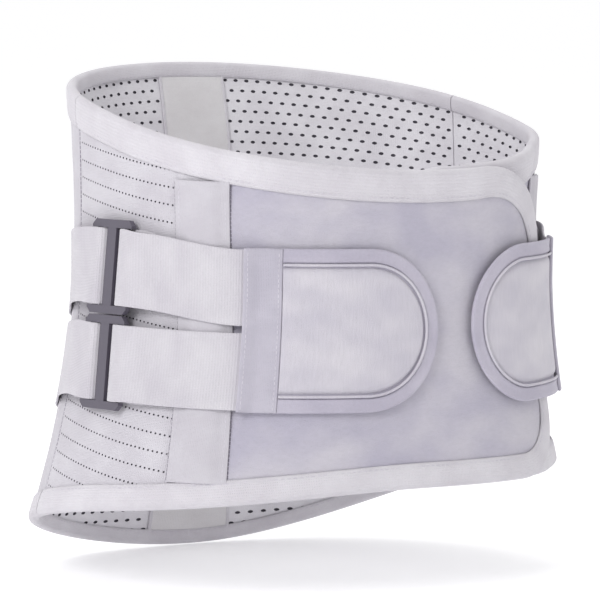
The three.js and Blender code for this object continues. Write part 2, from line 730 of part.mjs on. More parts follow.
function makeTab(side) {
  const isLeft = side.name === 'left';
  const body = TAB.map((value) => value + (isLeft ? LEFT_TAB_LIFT : 0));
  const bandGeometry = slab(8, 4, (u, v, face) => (
    onTab(side, u * BAND_LENGTH, (v * 2 - 1) * TAB_HALF_HEIGHT, BAND[face] + bandLift(side, u * BAND_LENGTH))
  ));
  add(`tab_band_${side.name}`, bandGeometry, COLOURS.band);

  const start = BAND_LENGTH + GAP;
  const turnAt = BAND_LENGTH + TAB_STRAIGHT;
  const rounded = (halfHeight, layer, from) => {
    const straight = 5;
    const round = 7;
    return slab(straight + round, 4, (u, v, face) => {
      const k = Math.round(u * (straight + round));
      const t = Math.max(0, (k - straight) / round) * (Math.PI / 2);
      const x = k <= straight ? mix(from, turnAt, k / straight) : turnAt + halfHeight * Math.sin(t);
      const y = (v * 2 - 1) * halfHeight * Math.cos(t);
      return onTab(side, x, y, layer[face]);
    });
  };
  const padHalf = TAB_HALF_HEIGHT - TAB_RIM_WIDTH - GAP;
  add(`tab_pad_${side.name}`, rounded(padHalf, body, start), COLOURS.tab);

  const path = [];
  const steps = 14;
  const straightSteps = 5;
  for (let i = 0; i < straightSteps; i += 1) {
    path.push({ x: mix(start, turnAt, i / straightSteps), y: TAB_HALF_HEIGHT, nx: 0, ny: -1 });
  }
  for (let i = 0; i <= steps; i += 1) {
    const t = Math.PI / 2 - (Math.PI * i) / steps;
    const x = turnAt + TAB_HALF_HEIGHT * Math.cos(t);
    path.push({ x, y: TAB_HALF_HEIGHT * Math.sin(t), nx: -Math.cos(t), ny: -Math.sin(t) });
  }
  for (let i = 1; i <= straightSteps; i += 1) {
    path.push({ x: mix(turnAt, start, i / straightSteps), y: -TAB_HALF_HEIGHT, nx: 0, ny: 1 });
  }
  const rimSection = [
    { x: 0, y: body[0] },
    { x: TAB_RIM_WIDTH, y: body[0] },
    { x: TAB_RIM_WIDTH, y: body[1] - TAB_RIM_STEP },
    { x: 0, y: body[1] - TAB_RIM_STEP },
  ];
  const rim = sweep(path, rimSection, [], (station, point) => (
    onTab(side, station.x + point.x * station.nx, station.y + point.x * station.ny, point.y)
  ));
  add(`tab_rim_${side.name}`, rim, COLOURS.rim);

  const hookHalf = TAB_HALF_HEIGHT - HOOK_MARGIN;
  if (side.name === 'right') {
    add('tab_hook_patch_right', rounded(hookHalf, HOOKS, start), COLOURS.hooks);
  } else {
    const tip = turnAt + hookHalf - LEFT_HOOKS_TIP_MARGIN;
    const patch = slab(4, 5, (u, v, face) => {
      const x = mix(tip - LEFT_HOOKS_LENGTH, tip, u);
      const t = Math.max(0, (x - turnAt) / hookHalf);
      const halfHeight = hookHalf * Math.sqrt(1 - t * t);
      return onTab(side, x, (v * 2 - 1) * halfHeight, face === 0 ? HOOKS[0] : body[0] - GAP);
    });
    add('tab_hook_patch_left', patch, COLOURS.hooks);
  }
}

// ---------------------------------------------------------------- putting it together

makeBackPanels();
makeBackStays();
makeBackBindings();

const innerDrop = (angle) => -INNER_FLAP_DROP * smooth(...INNER_FLAP_DROP_RANGE, -angle);
makeFlap('outer', SIDES.right, OUTER_FLAP_END, () => 0);
makeFlap('inner', SIDES.left, INNER_FLAP_END, innerDrop);
makeFlapHooks();

for (const side of Object.values(SIDES)) {
  for (const [level, height] of [['upper', RING_SPACING / 2], ['lower', -RING_SPACING / 2]]) {
    makeRing(side, level, height);
    makeRingLoop(side, level, height);
    makeRearStrap(side, level, height);
    makePullStrap(side, level, height);
  }
  makeTab(side);
}

export default belt;
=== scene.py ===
"""Lumbar support belt: the visual model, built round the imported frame.

Sizes are in millimetres until Piece.build() turns them into metres. +Z is up, -Y is the wearer's
front and +X is the wearer's left. Every soft piece lies on one body surface, and a place on it is
(angle, z, offset): degrees round the wearer (-90 front, 90 back, 180 right, 0 left), height, and
distance out from the innermost face of the belt.
"""

import math

import bmesh
import bpy
import numpy as np
from mathutils import Matrix, Vector


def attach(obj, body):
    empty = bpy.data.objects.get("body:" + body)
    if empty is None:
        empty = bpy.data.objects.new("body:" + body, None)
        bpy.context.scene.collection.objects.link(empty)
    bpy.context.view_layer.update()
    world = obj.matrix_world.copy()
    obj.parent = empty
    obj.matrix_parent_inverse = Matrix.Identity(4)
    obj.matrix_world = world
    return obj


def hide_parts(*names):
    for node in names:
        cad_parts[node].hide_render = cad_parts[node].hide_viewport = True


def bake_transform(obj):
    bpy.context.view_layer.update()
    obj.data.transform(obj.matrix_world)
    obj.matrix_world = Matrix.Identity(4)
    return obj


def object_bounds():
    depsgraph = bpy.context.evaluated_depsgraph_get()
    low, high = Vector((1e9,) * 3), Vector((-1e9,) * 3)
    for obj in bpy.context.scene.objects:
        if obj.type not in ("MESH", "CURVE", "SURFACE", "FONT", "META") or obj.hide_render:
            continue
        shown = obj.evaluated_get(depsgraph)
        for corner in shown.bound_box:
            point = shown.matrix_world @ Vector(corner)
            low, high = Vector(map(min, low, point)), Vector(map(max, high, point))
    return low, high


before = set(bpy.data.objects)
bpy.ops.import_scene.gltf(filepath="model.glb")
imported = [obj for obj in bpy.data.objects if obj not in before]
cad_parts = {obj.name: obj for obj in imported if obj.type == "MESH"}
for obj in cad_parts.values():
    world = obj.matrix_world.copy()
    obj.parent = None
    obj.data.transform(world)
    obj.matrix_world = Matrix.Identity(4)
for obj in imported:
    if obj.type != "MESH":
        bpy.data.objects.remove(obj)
cad_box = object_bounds()

MM = 0.001

# ------------------------------------------------------------ sizes of the body surface and rims

HALF_WIDTH, HALF_DEPTH, SECTION_POWER = 140, 109, 2.3
WAIST_Z = 24
TOP_DEPTH_FLARE, TOP_FLARE_REACH = 0.11, 100
HIP_WIDTH_FLARE, HIP_DEPTH_FLARE, HIP_FLARE_REACH, HIP_FLARE_POWER = 0.17, 0.07, 130, 1.7
BACKWARD_LEAN = 0.03
TOP_RIM = {"front": 90, "back": 142, "side": 1, "left": 0, "third": 0}
BOTTOM_RIM = {"front": -90, "back": -154, "side": 12.5, "left": 15, "third": 3.4}

# ------------------------------------------------------------ sizes of the layers and pieces

LINING = (0.0, 1.4)
PANEL = (1.9, 3.4)
CHANNEL = (3.7, 4.9)
CHANNEL_RISE = 1.3
REAR_CHANNEL = (5.6, 6.7)
CENTRE_STRIP_LAYER = (-0.9, 0.1)
WEB = 1.2
STRAP_OVER_CHANNEL = 7.8
STRAP_DROP, STRAP_DROP_LENGTH, STRAP_UNDER_BAND = 3.3, 9, 16
REAR_STRAP = 4.5
BAND = (5.6, 7.9)
TAB = (5.5, 8.0)
HOOKS = (3.9, 4.9)
FLAP_HOOKS = (-1.5, -0.4)
INNER_FLAP_DROP, INNER_FLAP_DROP_RANGE = 7.9, (16, 40)

SIDE_SEAM, SEAM_GAP = 198, 0.3
STAY_CENTRE, STAY_SLANT, CHANNEL_WIDTH = 144, 0.025, 31
CHANNEL_GROOVE = 1.2
OUTER_FLAP_END, INNER_FLAP_END = -44, -112
FLAP_CORNER = {"top": 74, "bottom": 40}
TOP_TAPE, BOTTOM_TAPE, END_TAPE, INNER_TAPE = 17, 13, 13, 8
CENTRE_STRIP = (82, 101)
REAR_CHANNEL_RANGE = (118, 132)
REAR_SPLIT = 125
FLAP_HOOK_RANGE, FLAP_HOOK_HALF_HEIGHT = (-72, -53), 36

RING_ANGLE, RING_MIDDLE_Z, RING_STANDOFF, RING_REACH = 173.2, 3.3, 7.6, 53
RING_SPACING, ROD_RADIUS, ROD_OFFSET, LOOP_CLEARANCE = 54.8, 1.7, 12.5, 0.35
STRAP_WIDTH, STRAP_SPACING_AT_BAND = 44, 48
REAR_STRAP_END, REAR_STRAP_FALL, REAR_STRAP_FALL_REACH = 126, 17, 110
REAR_STRAP_SETTLES = 66
FOLD_REACH = 2.6
# The rear straps pass under the rear channels between these heights.
STRAPS_UNDER, TUCK_FADE = (-72, 46), 14

BAND_START, LEFT_TAB_SHIFT, LEFT_TAB_LIFT = 134.8, 18.7, 1.6
BAND_LENGTH, TAB_HALF_HEIGHT, TAB_STRAIGHT = 21, 47, 50.5
BAND_SEAM_INSET, BAND_STITCH_LINE = 2.2, 60
RIM_WIDTH, BEAD_CENTRE, BEAD_RADIUS, PAD_INSET = 8.0, 9.3, 0.8, 10.6
HOOK_MARGIN, ROOT_GAP = 12, 0.06
PAD_SWELL, SWELL_FRAMES, PAD_FILL = 1.5, 20, 0.5

EYELET_PITCH, EYELET_ROW, EYELET = 7.5, 6.3, (1.6, 0.95)
FLAP_EYELET_ROWS = 38
PINHOLE_PITCH, PINHOLE_ROW, PINHOLE_CELL = 2.7, 10.0, 2.6
PINHOLE, ROW_TILT = (0.6, 0.58), 0.6
HOLE_DEPTH = 0.9

# How far in from a sheet's edge its faces round off, in millimetres.
EDGE_ROUNDING = 0.7
# Where a binding's stitches lie, as a share of each leg's width.
SEWN_AT = 0.84

# ------------------------------------------------------------ light and camera settings

FRONT_LIGHT, FLOOR_GLOW, FLOOR_REACH, FLOOR_GAP = 0.62, 0.22, 60.0, 0.0005
CAMERA_AZIMUTH, CAMERA_ELEVATION, CAMERA_ROLL = 35.77, 5.17, 1.57
CAMERA_DISTANCE, CAMERA_LENS, CAMERA_SHIFT = 2.5, 251.4, (-0.01425, 0.018633)


def mix(a, b, t):
    return a + (b - a) * t


def smooth(start, end, value):
    t = np.clip((np.asarray(value, float) - start) / (end - start), 0, 1)
    return t * t * (3 - 2 * t)


# ------------------------------------------------------------ the body surface


def body_point(angle, z):
    angle, z = np.broadcast_arrays(np.asarray(angle, float), np.asarray(z, float))
    c, s = np.cos(np.radians(angle)), np.sin(np.radians(angle))
    r = (np.abs(c) ** SECTION_POWER + np.abs(s) ** SECTION_POWER) ** (-1 / SECTION_POWER)
    above = np.maximum(0, (z - WAIST_Z) / TOP_FLARE_REACH)
    below = np.maximum(0, (WAIST_Z - z) / HIP_FLARE_REACH) ** HIP_FLARE_POWER
    wide = 1 + HIP_WIDTH_FLARE * below
    deep = 1 + TOP_DEPTH_FLARE * above**2 + HIP_DEPTH_FLARE * below
    x = HALF_WIDTH * wide * r * c
    y = HALF_DEPTH * deep * r * s + BACKWARD_LEAN * z
    return np.stack([x, y, z], axis=-1)


def body_normal(angle, z):
    angle, z = np.asarray(angle, float), np.asarray(z, float)
    across = body_point(angle + 0.5, z) - body_point(angle - 0.5, z)
    up = body_point(angle, z + 1) - body_point(angle, z - 1)
    normal = np.cross(across, up)
    return normal / np.linalg.norm(normal, axis=-1, keepdims=True)


def place(angle, z, offset):
    return body_point(angle, z) + body_normal(angle, z) * np.asarray(offset, float)[..., None]


def rim_height(rim, angle):
    a = np.radians(angle)
    middle, half = (rim["front"] + rim["back"]) / 2, (rim["back"] - rim["front"]) / 2
    lift = rim["side"] * np.cos(a) ** 2 + rim["left"] * np.maximum(0, np.cos(a)) ** 2
    third = rim["third"] * (np.sin(3 * a) + np.sin(a))
    return middle + half * np.sin(a) + lift + third


def top_at(angle):
    return rim_height(TOP_RIM, angle)


def bottom_at(angle):
    return rim_height(BOTTOM_RIM, angle)


def run_along(points):
    """The length along a line of points, at each of them."""
    return np.concatenate([[0], np.cumsum(np.linalg.norm(np.diff(points, axis=0), axis=1))])


def line_normals(line):
    """The unit normals of a plane line of points."""
    tangent = np.gradient(line, axis=0)
    normal = np.stack([-tangent[:, 1], tangent[:, 0]], axis=1)
    return normal / np.maximum(np.linalg.norm(normal, axis=1, keepdims=True), 1e-9)


# Length round the body at height 0, for every quarter of a degree.
ANGLES = np.arange(-400, 400.25, 0.25)
LENGTHS = run_along(body_point(ANGLES, 0))


def length_at(angle):
    return np.interp(angle, ANGLES, LENGTHS)


def angle_at(length):
    return np.interp(length, LENGTHS, ANGLES)


def advance(angle, length):
    return angle_at(length_at(angle) + length)


class Side:
    """One side of the wearer. Angles are written for the right side, as positive numbers."""

    def __init__(self, name, turn, flap):
        self.name, self.turn, self.flap = name, turn, flap

    def angle(self, a):
        return -a if self.name == "right" else a - 180


RIGHT = Side("right", 1, "outer")
LEFT = Side("left", -1, "inner")

# ------------------------------------------------------------ materials


class Material:
    """A node material under construction. mm is the belt's own coordinates in millimetres."""

    def __init__(self, name, **principled):
        self.material = bpy.data.materials.new(name)
        self.material.use_nodes = True
        self.tree = self.material.node_tree
        self.shader = self.tree.nodes["Principled BSDF"]
        for socket, value in principled.items():
            self.shader.inputs[socket.replace("_", " ")].default_value = value
        uv = self.tree.nodes.new("ShaderNodeUVMap")
        uv.uv_map = "belt"
        self.mm = self.scaled(uv.outputs["UV"], 1 / MM)

    def node(self, kind, settings=None, **inputs):
        made = self.tree.nodes.new(kind)
        for key, value in (settings or {}).items():
            setattr(made, key, value)
        for key, value in inputs.items():
            self.feed(made.inputs[key.replace("_", " ")], value)
        return made

    def feed(self, socket, value):
        if isinstance(value, bpy.types.NodeSocket):
            self.tree.links.new(value, socket)
        else:
            socket.default_value = value

    def math(self, operation, a, b=0.0):
        made = self.node("ShaderNodeMath", {"operation": operation})
        self.feed(made.inputs[0], a)
        self.feed(made.inputs[1], b)
        return made.outputs[0]

    def scaled(self, vector, scale):
        made = self.node("ShaderNodeVectorMath", {"operation": "SCALE"})
        self.feed(made.inputs[0], vector)
        self.feed(made.inputs["Scale"], scale)
        return made.outputs[0]

    def stretched(self, x, y):
        mapping = self.node("ShaderNodeMapping", Vector=self.mm)
        mapping.inputs["Scale"].default_value = (x, y, 1)
        return mapping.outputs[0]

    def noise(self, x, y, detail=3.0, roughness=0.6):
        settings = {"noise_dimensions": "2D"}
        made = self.node("ShaderNodeTexNoise", settings, Vector=self.stretched(x, y))
        made.inputs["Scale"].default_value = 1
        made.inputs["Detail"].default_value = detail
        made.inputs["Roughness"].default_value = roughness
        return made.outputs["Factor" if "Factor" in made.outputs else 0]

    def ribs(self, pitch, direction, distortion=0.0):
        """Waves of the given pitch, from 0 to 1. direction X runs round the belt, Y up it."""
        settings = {"wave_type": "BANDS", "bands_direction": direction}
        made = self.node("ShaderNodeTexWave", settings, Vector=self.mm)
        made.inputs["Scale"].default_value = math.tau / 20 / pitch
        made.inputs["Distortion"].default_value = distortion
        made.inputs["Detail Scale"].default_value = 2
        return made.outputs["Factor" if "Factor" in made.outputs else 1]

    def blend(self, factor, dark, light, start=0.3, end=0.7):
        ramp = self.node("ShaderNodeValToRGB", Fac=factor)
        ramp.color_ramp.elements[0].position = start
        ramp.color_ramp.elements[1].position = end
        ramp.color_ramp.elements[0].color = (*dark, 1)
        ramp.color_ramp.elements[1].color = (*light, 1)
        return ramp.outputs[0]

    def multiply(self, colour, factor, amount):
        """Darkens colour where factor, from 0 to 1, is low."""
        shade = self.math("ADD", self.math("MULTIPLY", factor, amount), 1 - amount)
        return self.scaled(colour, shade)

    def finish(self, colour, height, depth):
        bump = self.node("ShaderNodeBump", Height=height)
        bump.inputs["Distance"].default_value = depth * MM
        self.tree.links.new(bump.outputs[0], self.shader.inputs["Normal"])
        self.tree.links.new(colour, self.shader.inputs["Base Color"])
        return self.material


def srgb(red, green, blue):
    """A colour written as 0 to 255 sRGB values, as the linear numbers that a shader takes."""
    return tuple(
        c / 12.92 if c <= 0.04045 else ((c + 0.055) / 1.055) ** 2.4
        for c in (red / 255, green / 255, blue / 255)
    )


def knit(name, dark, light, pitch, depth=0.16, sheen=0.15, roughness=0.85):
    """A smooth knitted cloth: fine ribs up the belt, broken by courses, with faint mottling."""
    made = Material(name, Roughness=roughness, Sheen_Weight=sheen, Sheen_Roughness=0.5)
    ribs = made.ribs(pitch, "X", 1.2)
    courses = made.ribs(pitch * 0.8, "Y", 1.5)
    fuzz = made.noise(1.4, 1.4, 4)
    height = made.math("ADD", made.math("MULTIPLY", ribs, courses), fuzz)
    mottle = made.noise(0.035, 0.05, 3)
    colour = made.blend(mottle, dark, light)
    return made.finish(made.multiply(colour, fuzz, 0.10), height, depth)


def brushed(name, dark, light, across, along, depth=0.22):
    """A brushed loop pile: soft patches and short streaks across and along the belt."""
    made = Material(name, Roughness=0.92, Sheen_Weight=0.3, Sheen_Roughness=0.45)
    patches = made.noise(0.02, 0.028, 2)
    streaks = made.noise(across, along, 4, 0.7)
    nap = made.noise(1.9, 1.6, 4, 0.7)
    height = made.math("ADD", streaks, made.math("MULTIPLY", nap, 1.3))
    colour = made.blend(patches, dark, light, 0.32, 0.68)
    colour = made.multiply(colour, streaks, 0.16)
    return made.finish(made.multiply(colour, nap, 0.14), height, depth)


def webbing_material(name, dark, light):
    """Flat elastic webbing: close ribs across its width and a dense weave along it."""
    made = Material(name, Roughness=0.78, Sheen_Weight=0.2, Sheen_Roughness=0.4)
    ribs = made.ribs(1.5, "X", 0.5)
    picks = made.ribs(0.9, "Y", 0.8)
    fuzz = made.noise(1.6, 1.2, 3)
    weave = made.math("ADD", made.math("MULTIPLY", ribs, 0.8), made.math("MULTIPLY", picks, 0.5))
    height = made.math("ADD", weave, made.math("MULTIPLY", fuzz, 0.7))
    colour = made.blend(made.noise(0.04, 0.02, 2), dark, light)
    return made.finish(made.multiply(colour, made.math("MULTIPLY", ribs, fuzz), 0.10), height, 0.18)


def moulded_plastic(name, colour, roughness, grain):
    made = Material(name, Roughness=roughness)
    made.shader.inputs["Specular IOR Level"].default_value = 0.45
    grain_height = made.noise(grain, grain, 3)
    tone = made.blend(made.noise(0.2, 0.2, 2), colour, tuple(c * 1.25 for c in colour))
    return made.finish(tone, grain_height, 0.05)


def hook_field(name, dark, light):
    """A moulded field of small hooks in rows."""
    made = Material(name, Roughness=0.6)
    rows, columns = made.ribs(1.4, "Y"), made.ribs(1.1, "X")
    hooks = made.math("MULTIPLY", rows, columns)
    return made.finish(made.blend(hooks, dark, light, 0.1, 0.8), hooks, 0.5)


def spring_steel(name):
    made = Material(name, Metallic=1.0, Roughness=0.34)
    brushing = made.noise(0.4, 6.0, 3)
    tone = made.blend(brushing, srgb(150, 152, 156), srgb(178, 180, 184))
    return made.finish(tone, brushing, 0.03)


TAPE = knit("binding_tape", srgb(206, 202, 209), srgb(216, 213, 219), 1.0, 0.2)
SIDE = knit("perforated_elastic", srgb(197, 193, 201), srgb(206, 203, 210), 1.1, 0.18)
LINING_KNIT = knit("lining_mesh", srgb(216, 213, 219), srgb(228, 226, 231), 1.2, 0.14)
STRIP = knit("lining_strip", srgb(214, 211, 213), srgb(222, 220, 222), 1.0, 0.12)
CHANNEL_TAPE = knit("channel_tape", srgb(192, 188, 196), srgb(200, 197, 204), 0.9, 0.12)
BAND_TAPE = knit("tab_band", srgb(183, 179, 192), srgb(194, 190, 202), 0.9, 0.16)
LOOP = brushed("loop_fabric", srgb(190, 186, 202), srgb(208, 204, 214), 0.22, 0.5)
TAB_CLOTH = brushed("tab_body", srgb(203, 199, 211), srgb(220, 216, 224), 0.7, 0.10)
RIM_CLOTH = brushed("tab_rim", srgb(186, 181, 197), srgb(200, 195, 209), 0.5, 0.5, 0.12)
WEBBING = webbing_material("webbing", srgb(197, 193, 201), srgb(208, 205, 211))
THREAD = knit("thread", srgb(196, 192, 202), srgb(212, 208, 217), 0.5, 0.05)
# Dark seam thread: a real stitched seam, and also painted shade, made dark to stand for the
# shadowed gap beside a seam.
SEAM_THREAD_AND_SHADE = knit("seam_thread_and_shade", srgb(118, 113, 126), srgb(142, 137, 150), 0.5, 0.05)
RING = moulded_plastic("ring_plastic", srgb(84, 80, 91), 0.34, 1.5)
HOOK = hook_field("hooks", srgb(140, 136, 147), srgb(184, 180, 190))
STEEL = spring_steel("stay_steel")
HOLE = knit("hole_shadow", srgb(74, 71, 80), srgb(88, 85, 94), 0.7, 0.05, 0.0, 1.0)

# ------------------------------------------------------------ mesh building


class Piece:
    """Collects the points, faces and belt coordinates of one named mesh."""

    def __init__(self, name, *materials):
        self.name, self.materials = name, materials
        self.points, self.coordinates, self.faces, self.slots = [], [], [], []
        self.count = 0

    def add_points(self, points, coordinates):
        """Adds points with their (u, v) belt coordinates. Returns their index array."""
        points = np.asarray(points, float)
        first = self.count
        self.points.append(points.reshape(-1, 3))
        self.coordinates.append(np.asarray(coordinates, float).reshape(-1, 2))
        self.count += points.size // 3
        return np.arange(first, self.count).reshape(points.shape[:-1])

    def add_faces(self, *corners, slot=0):
        """Adds one face for each place in the arrays of corner indices."""
        stacked = np.stack([np.asarray(c).ravel() for c in corners], axis=1)
        self.faces.extend(stacked.tolist())
        self.slots.extend([slot] * len(stacked))

    def add_lattice(self, index, slot=0, close_rows=False):
        """Quads over a two-way array of point indices."""
        if close_rows:
            index = np.concatenate([index, index[:, :1]], axis=1)
        self.add_faces(index[:-1, :-1], index[1:, :-1], index[1:, 1:], index[:-1, 1:], slot=slot)

    def add_cap(self, ring, slot=0):
        """One face over a closed ring of point indices."""
        self.add_faces(*[ring[k : k + 1] for k in range(len(ring))], slot=slot)

    def build(self, sharp=42):
        mesh = bpy.data.meshes.new(self.name)
        points = np.concatenate(self.points) * MM
        mesh.from_pydata(points.tolist(), [], self.faces)
        for material in self.materials:
            mesh.materials.append(material)
        mesh.polygons.foreach_set("material_index", np.array(self.slots, np.int32))
        corner = np.zeros(len(mesh.loops), np.int32)
        mesh.loops.foreach_get("vertex_index", corner)
        belt = np.concatenate(self.coordinates)[corner] * MM
        layer = mesh.uv_layers.new(name="belt")
        layer.data.foreach_set("uv", belt.astype(np.float32).ravel())
        shape = bmesh.new()
        shape.from_mesh(mesh)
        bmesh.ops.remove_doubles(shape, verts=shape.verts, dist=0.004 * MM)
        bmesh.ops.recalc_face_normals(shape, faces=shape.faces)
        shape.to_mesh(mesh)
        shape.free()
        mesh.shade_smooth()
        mesh.set_sharp_from_angle(angle=math.radians(sharp))
        made = bpy.data.objects.new(self.name, mesh)
        bpy.context.scene.collection.objects.link(made)
        return made


def quarter_round(distance, radius):
    """0 at a sheet's edge and 1 from radius inwards, along a quarter circle."""
    t = np.clip(np.asarray(distance, float) / radius, 0, 1)
    return np.sqrt(1 - (1 - t) ** 2)


def ruler(length, step, edge=EDGE_ROUNDING):
    """Positions along a length, with extra ones where the edges round off."""
    count = max(2, round((length - 2 * edge) / step) + 1)
    start = np.array([0, 0.12, 0.45]) * edge
    return np.concatenate([start, np.linspace(edge, length - edge, count), length - start[::-1]])


def layer_halves(layer):
    """The middle offset of a layer, and half its thickness."""
    return (layer[0] + layer[1]) / 2, (layer[1] - layer[0]) / 2


def weave_relief(length, z):
    """The slow unevenness of laid cloth, in millimetres."""
    slow = np.sin(length * 0.071 + 1.3 * np.sin(z * 0.037)) * np.sin(z * 0.052 + 0.7)
    quick = np.sin(length * 0.19 + z * 0.11) * np.sin(z * 0.16 - length * 0.05)
    return 0.16 * slow + 0.07 * quick


def add_slab(piece, angle, z, front, back, slot=0):
    """A closed sheet over lattices of angle, z and the offsets of its two faces."""
    coordinates = np.stack([length_at(angle), z], axis=-1)
    near = piece.add_points(place(angle, z, front), coordinates)
    far = piece.add_points(place(angle, z, back), coordinates)
    piece.add_lattice(near, slot)
    piece.add_lattice(far, slot)
    add_edge(piece, near, far, slot)


def add_edge(piece, near, far, slot):
    """Closes the strip between the outlines of two lattices."""
    for a, b in zip(outline(near), outline(far)):
        piece.add_faces(a[:-1], a[1:], b[1:], b[:-1], slot=slot)


def outline(index):
    return [index[0], index[-1], index[:, 0], index[:, -1]]


def edge_fade(lengths, heights, radius=EDGE_ROUNDING):
    """How full the sheet is at each lattice place, from the distances to its four edges."""
    along = np.minimum(lengths - lengths.min(), lengths.max() - lengths)
    up = np.minimum(heights - heights[:, :1], heights[:, -1:] - heights)
    return quarter_round(along[:, None], radius) * quarter_round(up, radius)


def perforate(piece, length, z, front, back, hole, deep, holes):
    """A closed sheet with blind holes: an eight-sided cup in each lattice cell of the mask holes.
    front is the offset of the face that is pierced, and deep the signed depth of the cups."""
    angle = angle_at(length)
    coordinates = np.stack([length, z], axis=-1)
    near = piece.add_points(place(angle, z, front), coordinates)
    far = piece.add_points(place(angle, z, back), coordinates)
    piece.add_lattice(far)
    add_edge(piece, near, far, 0)
    corners = [near[:-1, :-1], near[1:, :-1], near[1:, 1:], near[:-1, 1:]]
    piece.add_faces(*[c[~holes] for c in corners])
    low_low, high_low, high_high, low_high = [c[holes] for c in corners]

    def centre(values):
        return ((values[:-1, :-1] + values[1:, :-1] + values[1:, 1:] + values[:-1, 1:]) / 4)[holes]

    turn = np.arange(8) * math.tau / 8
    across = centre(length)[:, None] + hole[0] * np.cos(turn)
    up = centre(z)[:, None] + hole[1] * np.sin(turn)
    face = np.repeat(centre(front)[:, None], 8, axis=1)
    rim_coordinates = np.stack([across, up], axis=-1)
    rim = piece.add_points(place(angle_at(across), up, face), rim_coordinates)
    floor = piece.add_points(place(angle_at(across), up, face + deep), rim_coordinates)
    for corner, k in ((high_high, 0), (low_high, 2), (low_low, 4), (high_low, 6)):
        piece.add_faces(rim[:, k], corner, rim[:, (k + 2) % 8], rim[:, k + 1])
    around = (high_low, high_high, low_high, low_low, high_low)
    for k in range(4):
        piece.add_faces(around[k], around[k + 1], rim[:, 2 * k])
    for k in range(8):
        n = (k + 1) % 8
        piece.add_faces(rim[:, k], rim[:, n], floor[:, n], floor[:, k], slot=1)
    piece.add_faces(*[floor[:, k] for k in range(8)], slot=1)


def add_stitches(piece, angle, z, offset, pitch=3.4, length=2.3, radius=0.3, slot=1):
    """A run of stitches along a line of places on the body."""
    path = place(angle, z, offset)
    run = run_along(path)
    middles = np.arange(pitch / 2, run[-1], pitch)

    def along(s):
        return np.stack([np.interp(s, run, path[:, k]) for k in range(3)], axis=-1)

    centre = along(middles)
    forward = along(middles + 0.5) - along(middles - 0.5)
    forward /= np.linalg.norm(forward, axis=1, keepdims=True)
    out = body_normal(np.interp(middles, run, angle), np.interp(middles, run, z))
    across = np.cross(forward, out)
    turn = np.arange(6) * math.tau / 6
    rings = []
    for reach, thick in ((-0.5, 0.25), (-0.32, 0.9), (0.32, 0.9), (0.5, 0.25)):
        spoke = np.cos(turn)[:, None, None] * across + np.sin(turn)[:, None, None] * out
        rings.append(centre + forward * reach * length + spoke * thick * radius)
    points = np.stack(rings).transpose(2, 0, 1, 3)
    coordinates = np.broadcast_to(middles[:, None, None, None], (*points.shape[:3], 2))
    index = piece.add_points(points, coordinates)
    for k in range(3):
        for m in range(6):
            n = (m + 1) % 6
            piece.add_faces(
                index[:, k, m], index[:, k + 1, m], index[:, k + 1, n], index[:, k, n], slot=slot
            )
    for k in (0, 3):
        piece.add_faces(*[index[:, k, m] for m in range(6)], slot=slot)


# ------------------------------------------------------------ putting pieces on the frame


def lay(made, body, slot, *nodes):
    """The piece rides on a body and stands for those CAD nodes."""
    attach(made, body)
    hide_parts(*nodes)
    return made


def bend(made, side, slot, *nodes):
    """Bakes the piece's transform into its mesh and hides those CAD nodes."""
    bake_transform(made)
    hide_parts(*nodes)
    return made


def inner_drop(angle):
    """How far the inner flap sinks towards the wearer to pass under the outer one."""
    return -INNER_FLAP_DROP * smooth(*INNER_FLAP_DROP_RANGE, -np.asarray(angle))


def no_drop(angle):
    return np.zeros_like(np.asarray(angle, float))


# ------------------------------------------------------------ panels of the back section

BACK_FROM = LEFT.angle(SIDE_SEAM) + SEAM_GAP / 2
BACK_TO = 360 + RIGHT.angle(SIDE_SEAM) - SEAM_GAP / 2


def columns_between(from_angle, to_angle, step=4.0):
    """Lengths round the body for the columns of a plain sheet between two angles."""
    start, end = sorted((length_at(from_angle), length_at(to_angle)))
    return start + ruler(end - start, step)


def plain_panel(piece, lengths, layer, low, high, groove=None, drop=no_drop):
    """A plain sheet with columns at those lengths, between two height functions."""
    angle = angle_at(lengths)[:, None]
    share = ruler(100, 2.0, 0.35) / 100
    z = mix(low(angle), high(angle), share[None, :])
    angle = np.broadcast_to(angle, z.shape)
    fade = edge_fade(lengths, z)
    middle, half = layer_halves(layer)
    sink = drop(angle)
    front = middle + half * fade + weave_relief(lengths[:, None], z) * fade + sink
    if groove is not None:
        front = front - groove(lengths[:, None], z)
    add_slab(piece, angle, z, front, middle - half * fade + sink)


def pinhole_rows(angle):
    """Lattice rows that fall towards the front less steeply than the top rim does, clipped to
    the panel's height."""
    low, high = bottom_at(angle), top_at(angle)
    line = mix(high.min(), high, ROW_TILT)
    above = math.ceil((high - line).max() / PINHOLE_ROW)
    below = math.ceil((line - low).max() / PINHOLE_ROW)
    plain = (PINHOLE_ROW - PINHOLE_CELL) / 2
    starts = PINHOLE_ROW * np.arange(-below, above)
    steps = (starts[:, None] + np.array([0, plain, PINHOLE_ROW - plain])[None, :]).ravel()
    z = line[:, None] + steps[None, :]
    low_edge, high_edge = low[:, None], high[:, None]
    return np.concatenate([low_edge, np.clip(z, low_edge, high_edge), high_edge], axis=1)


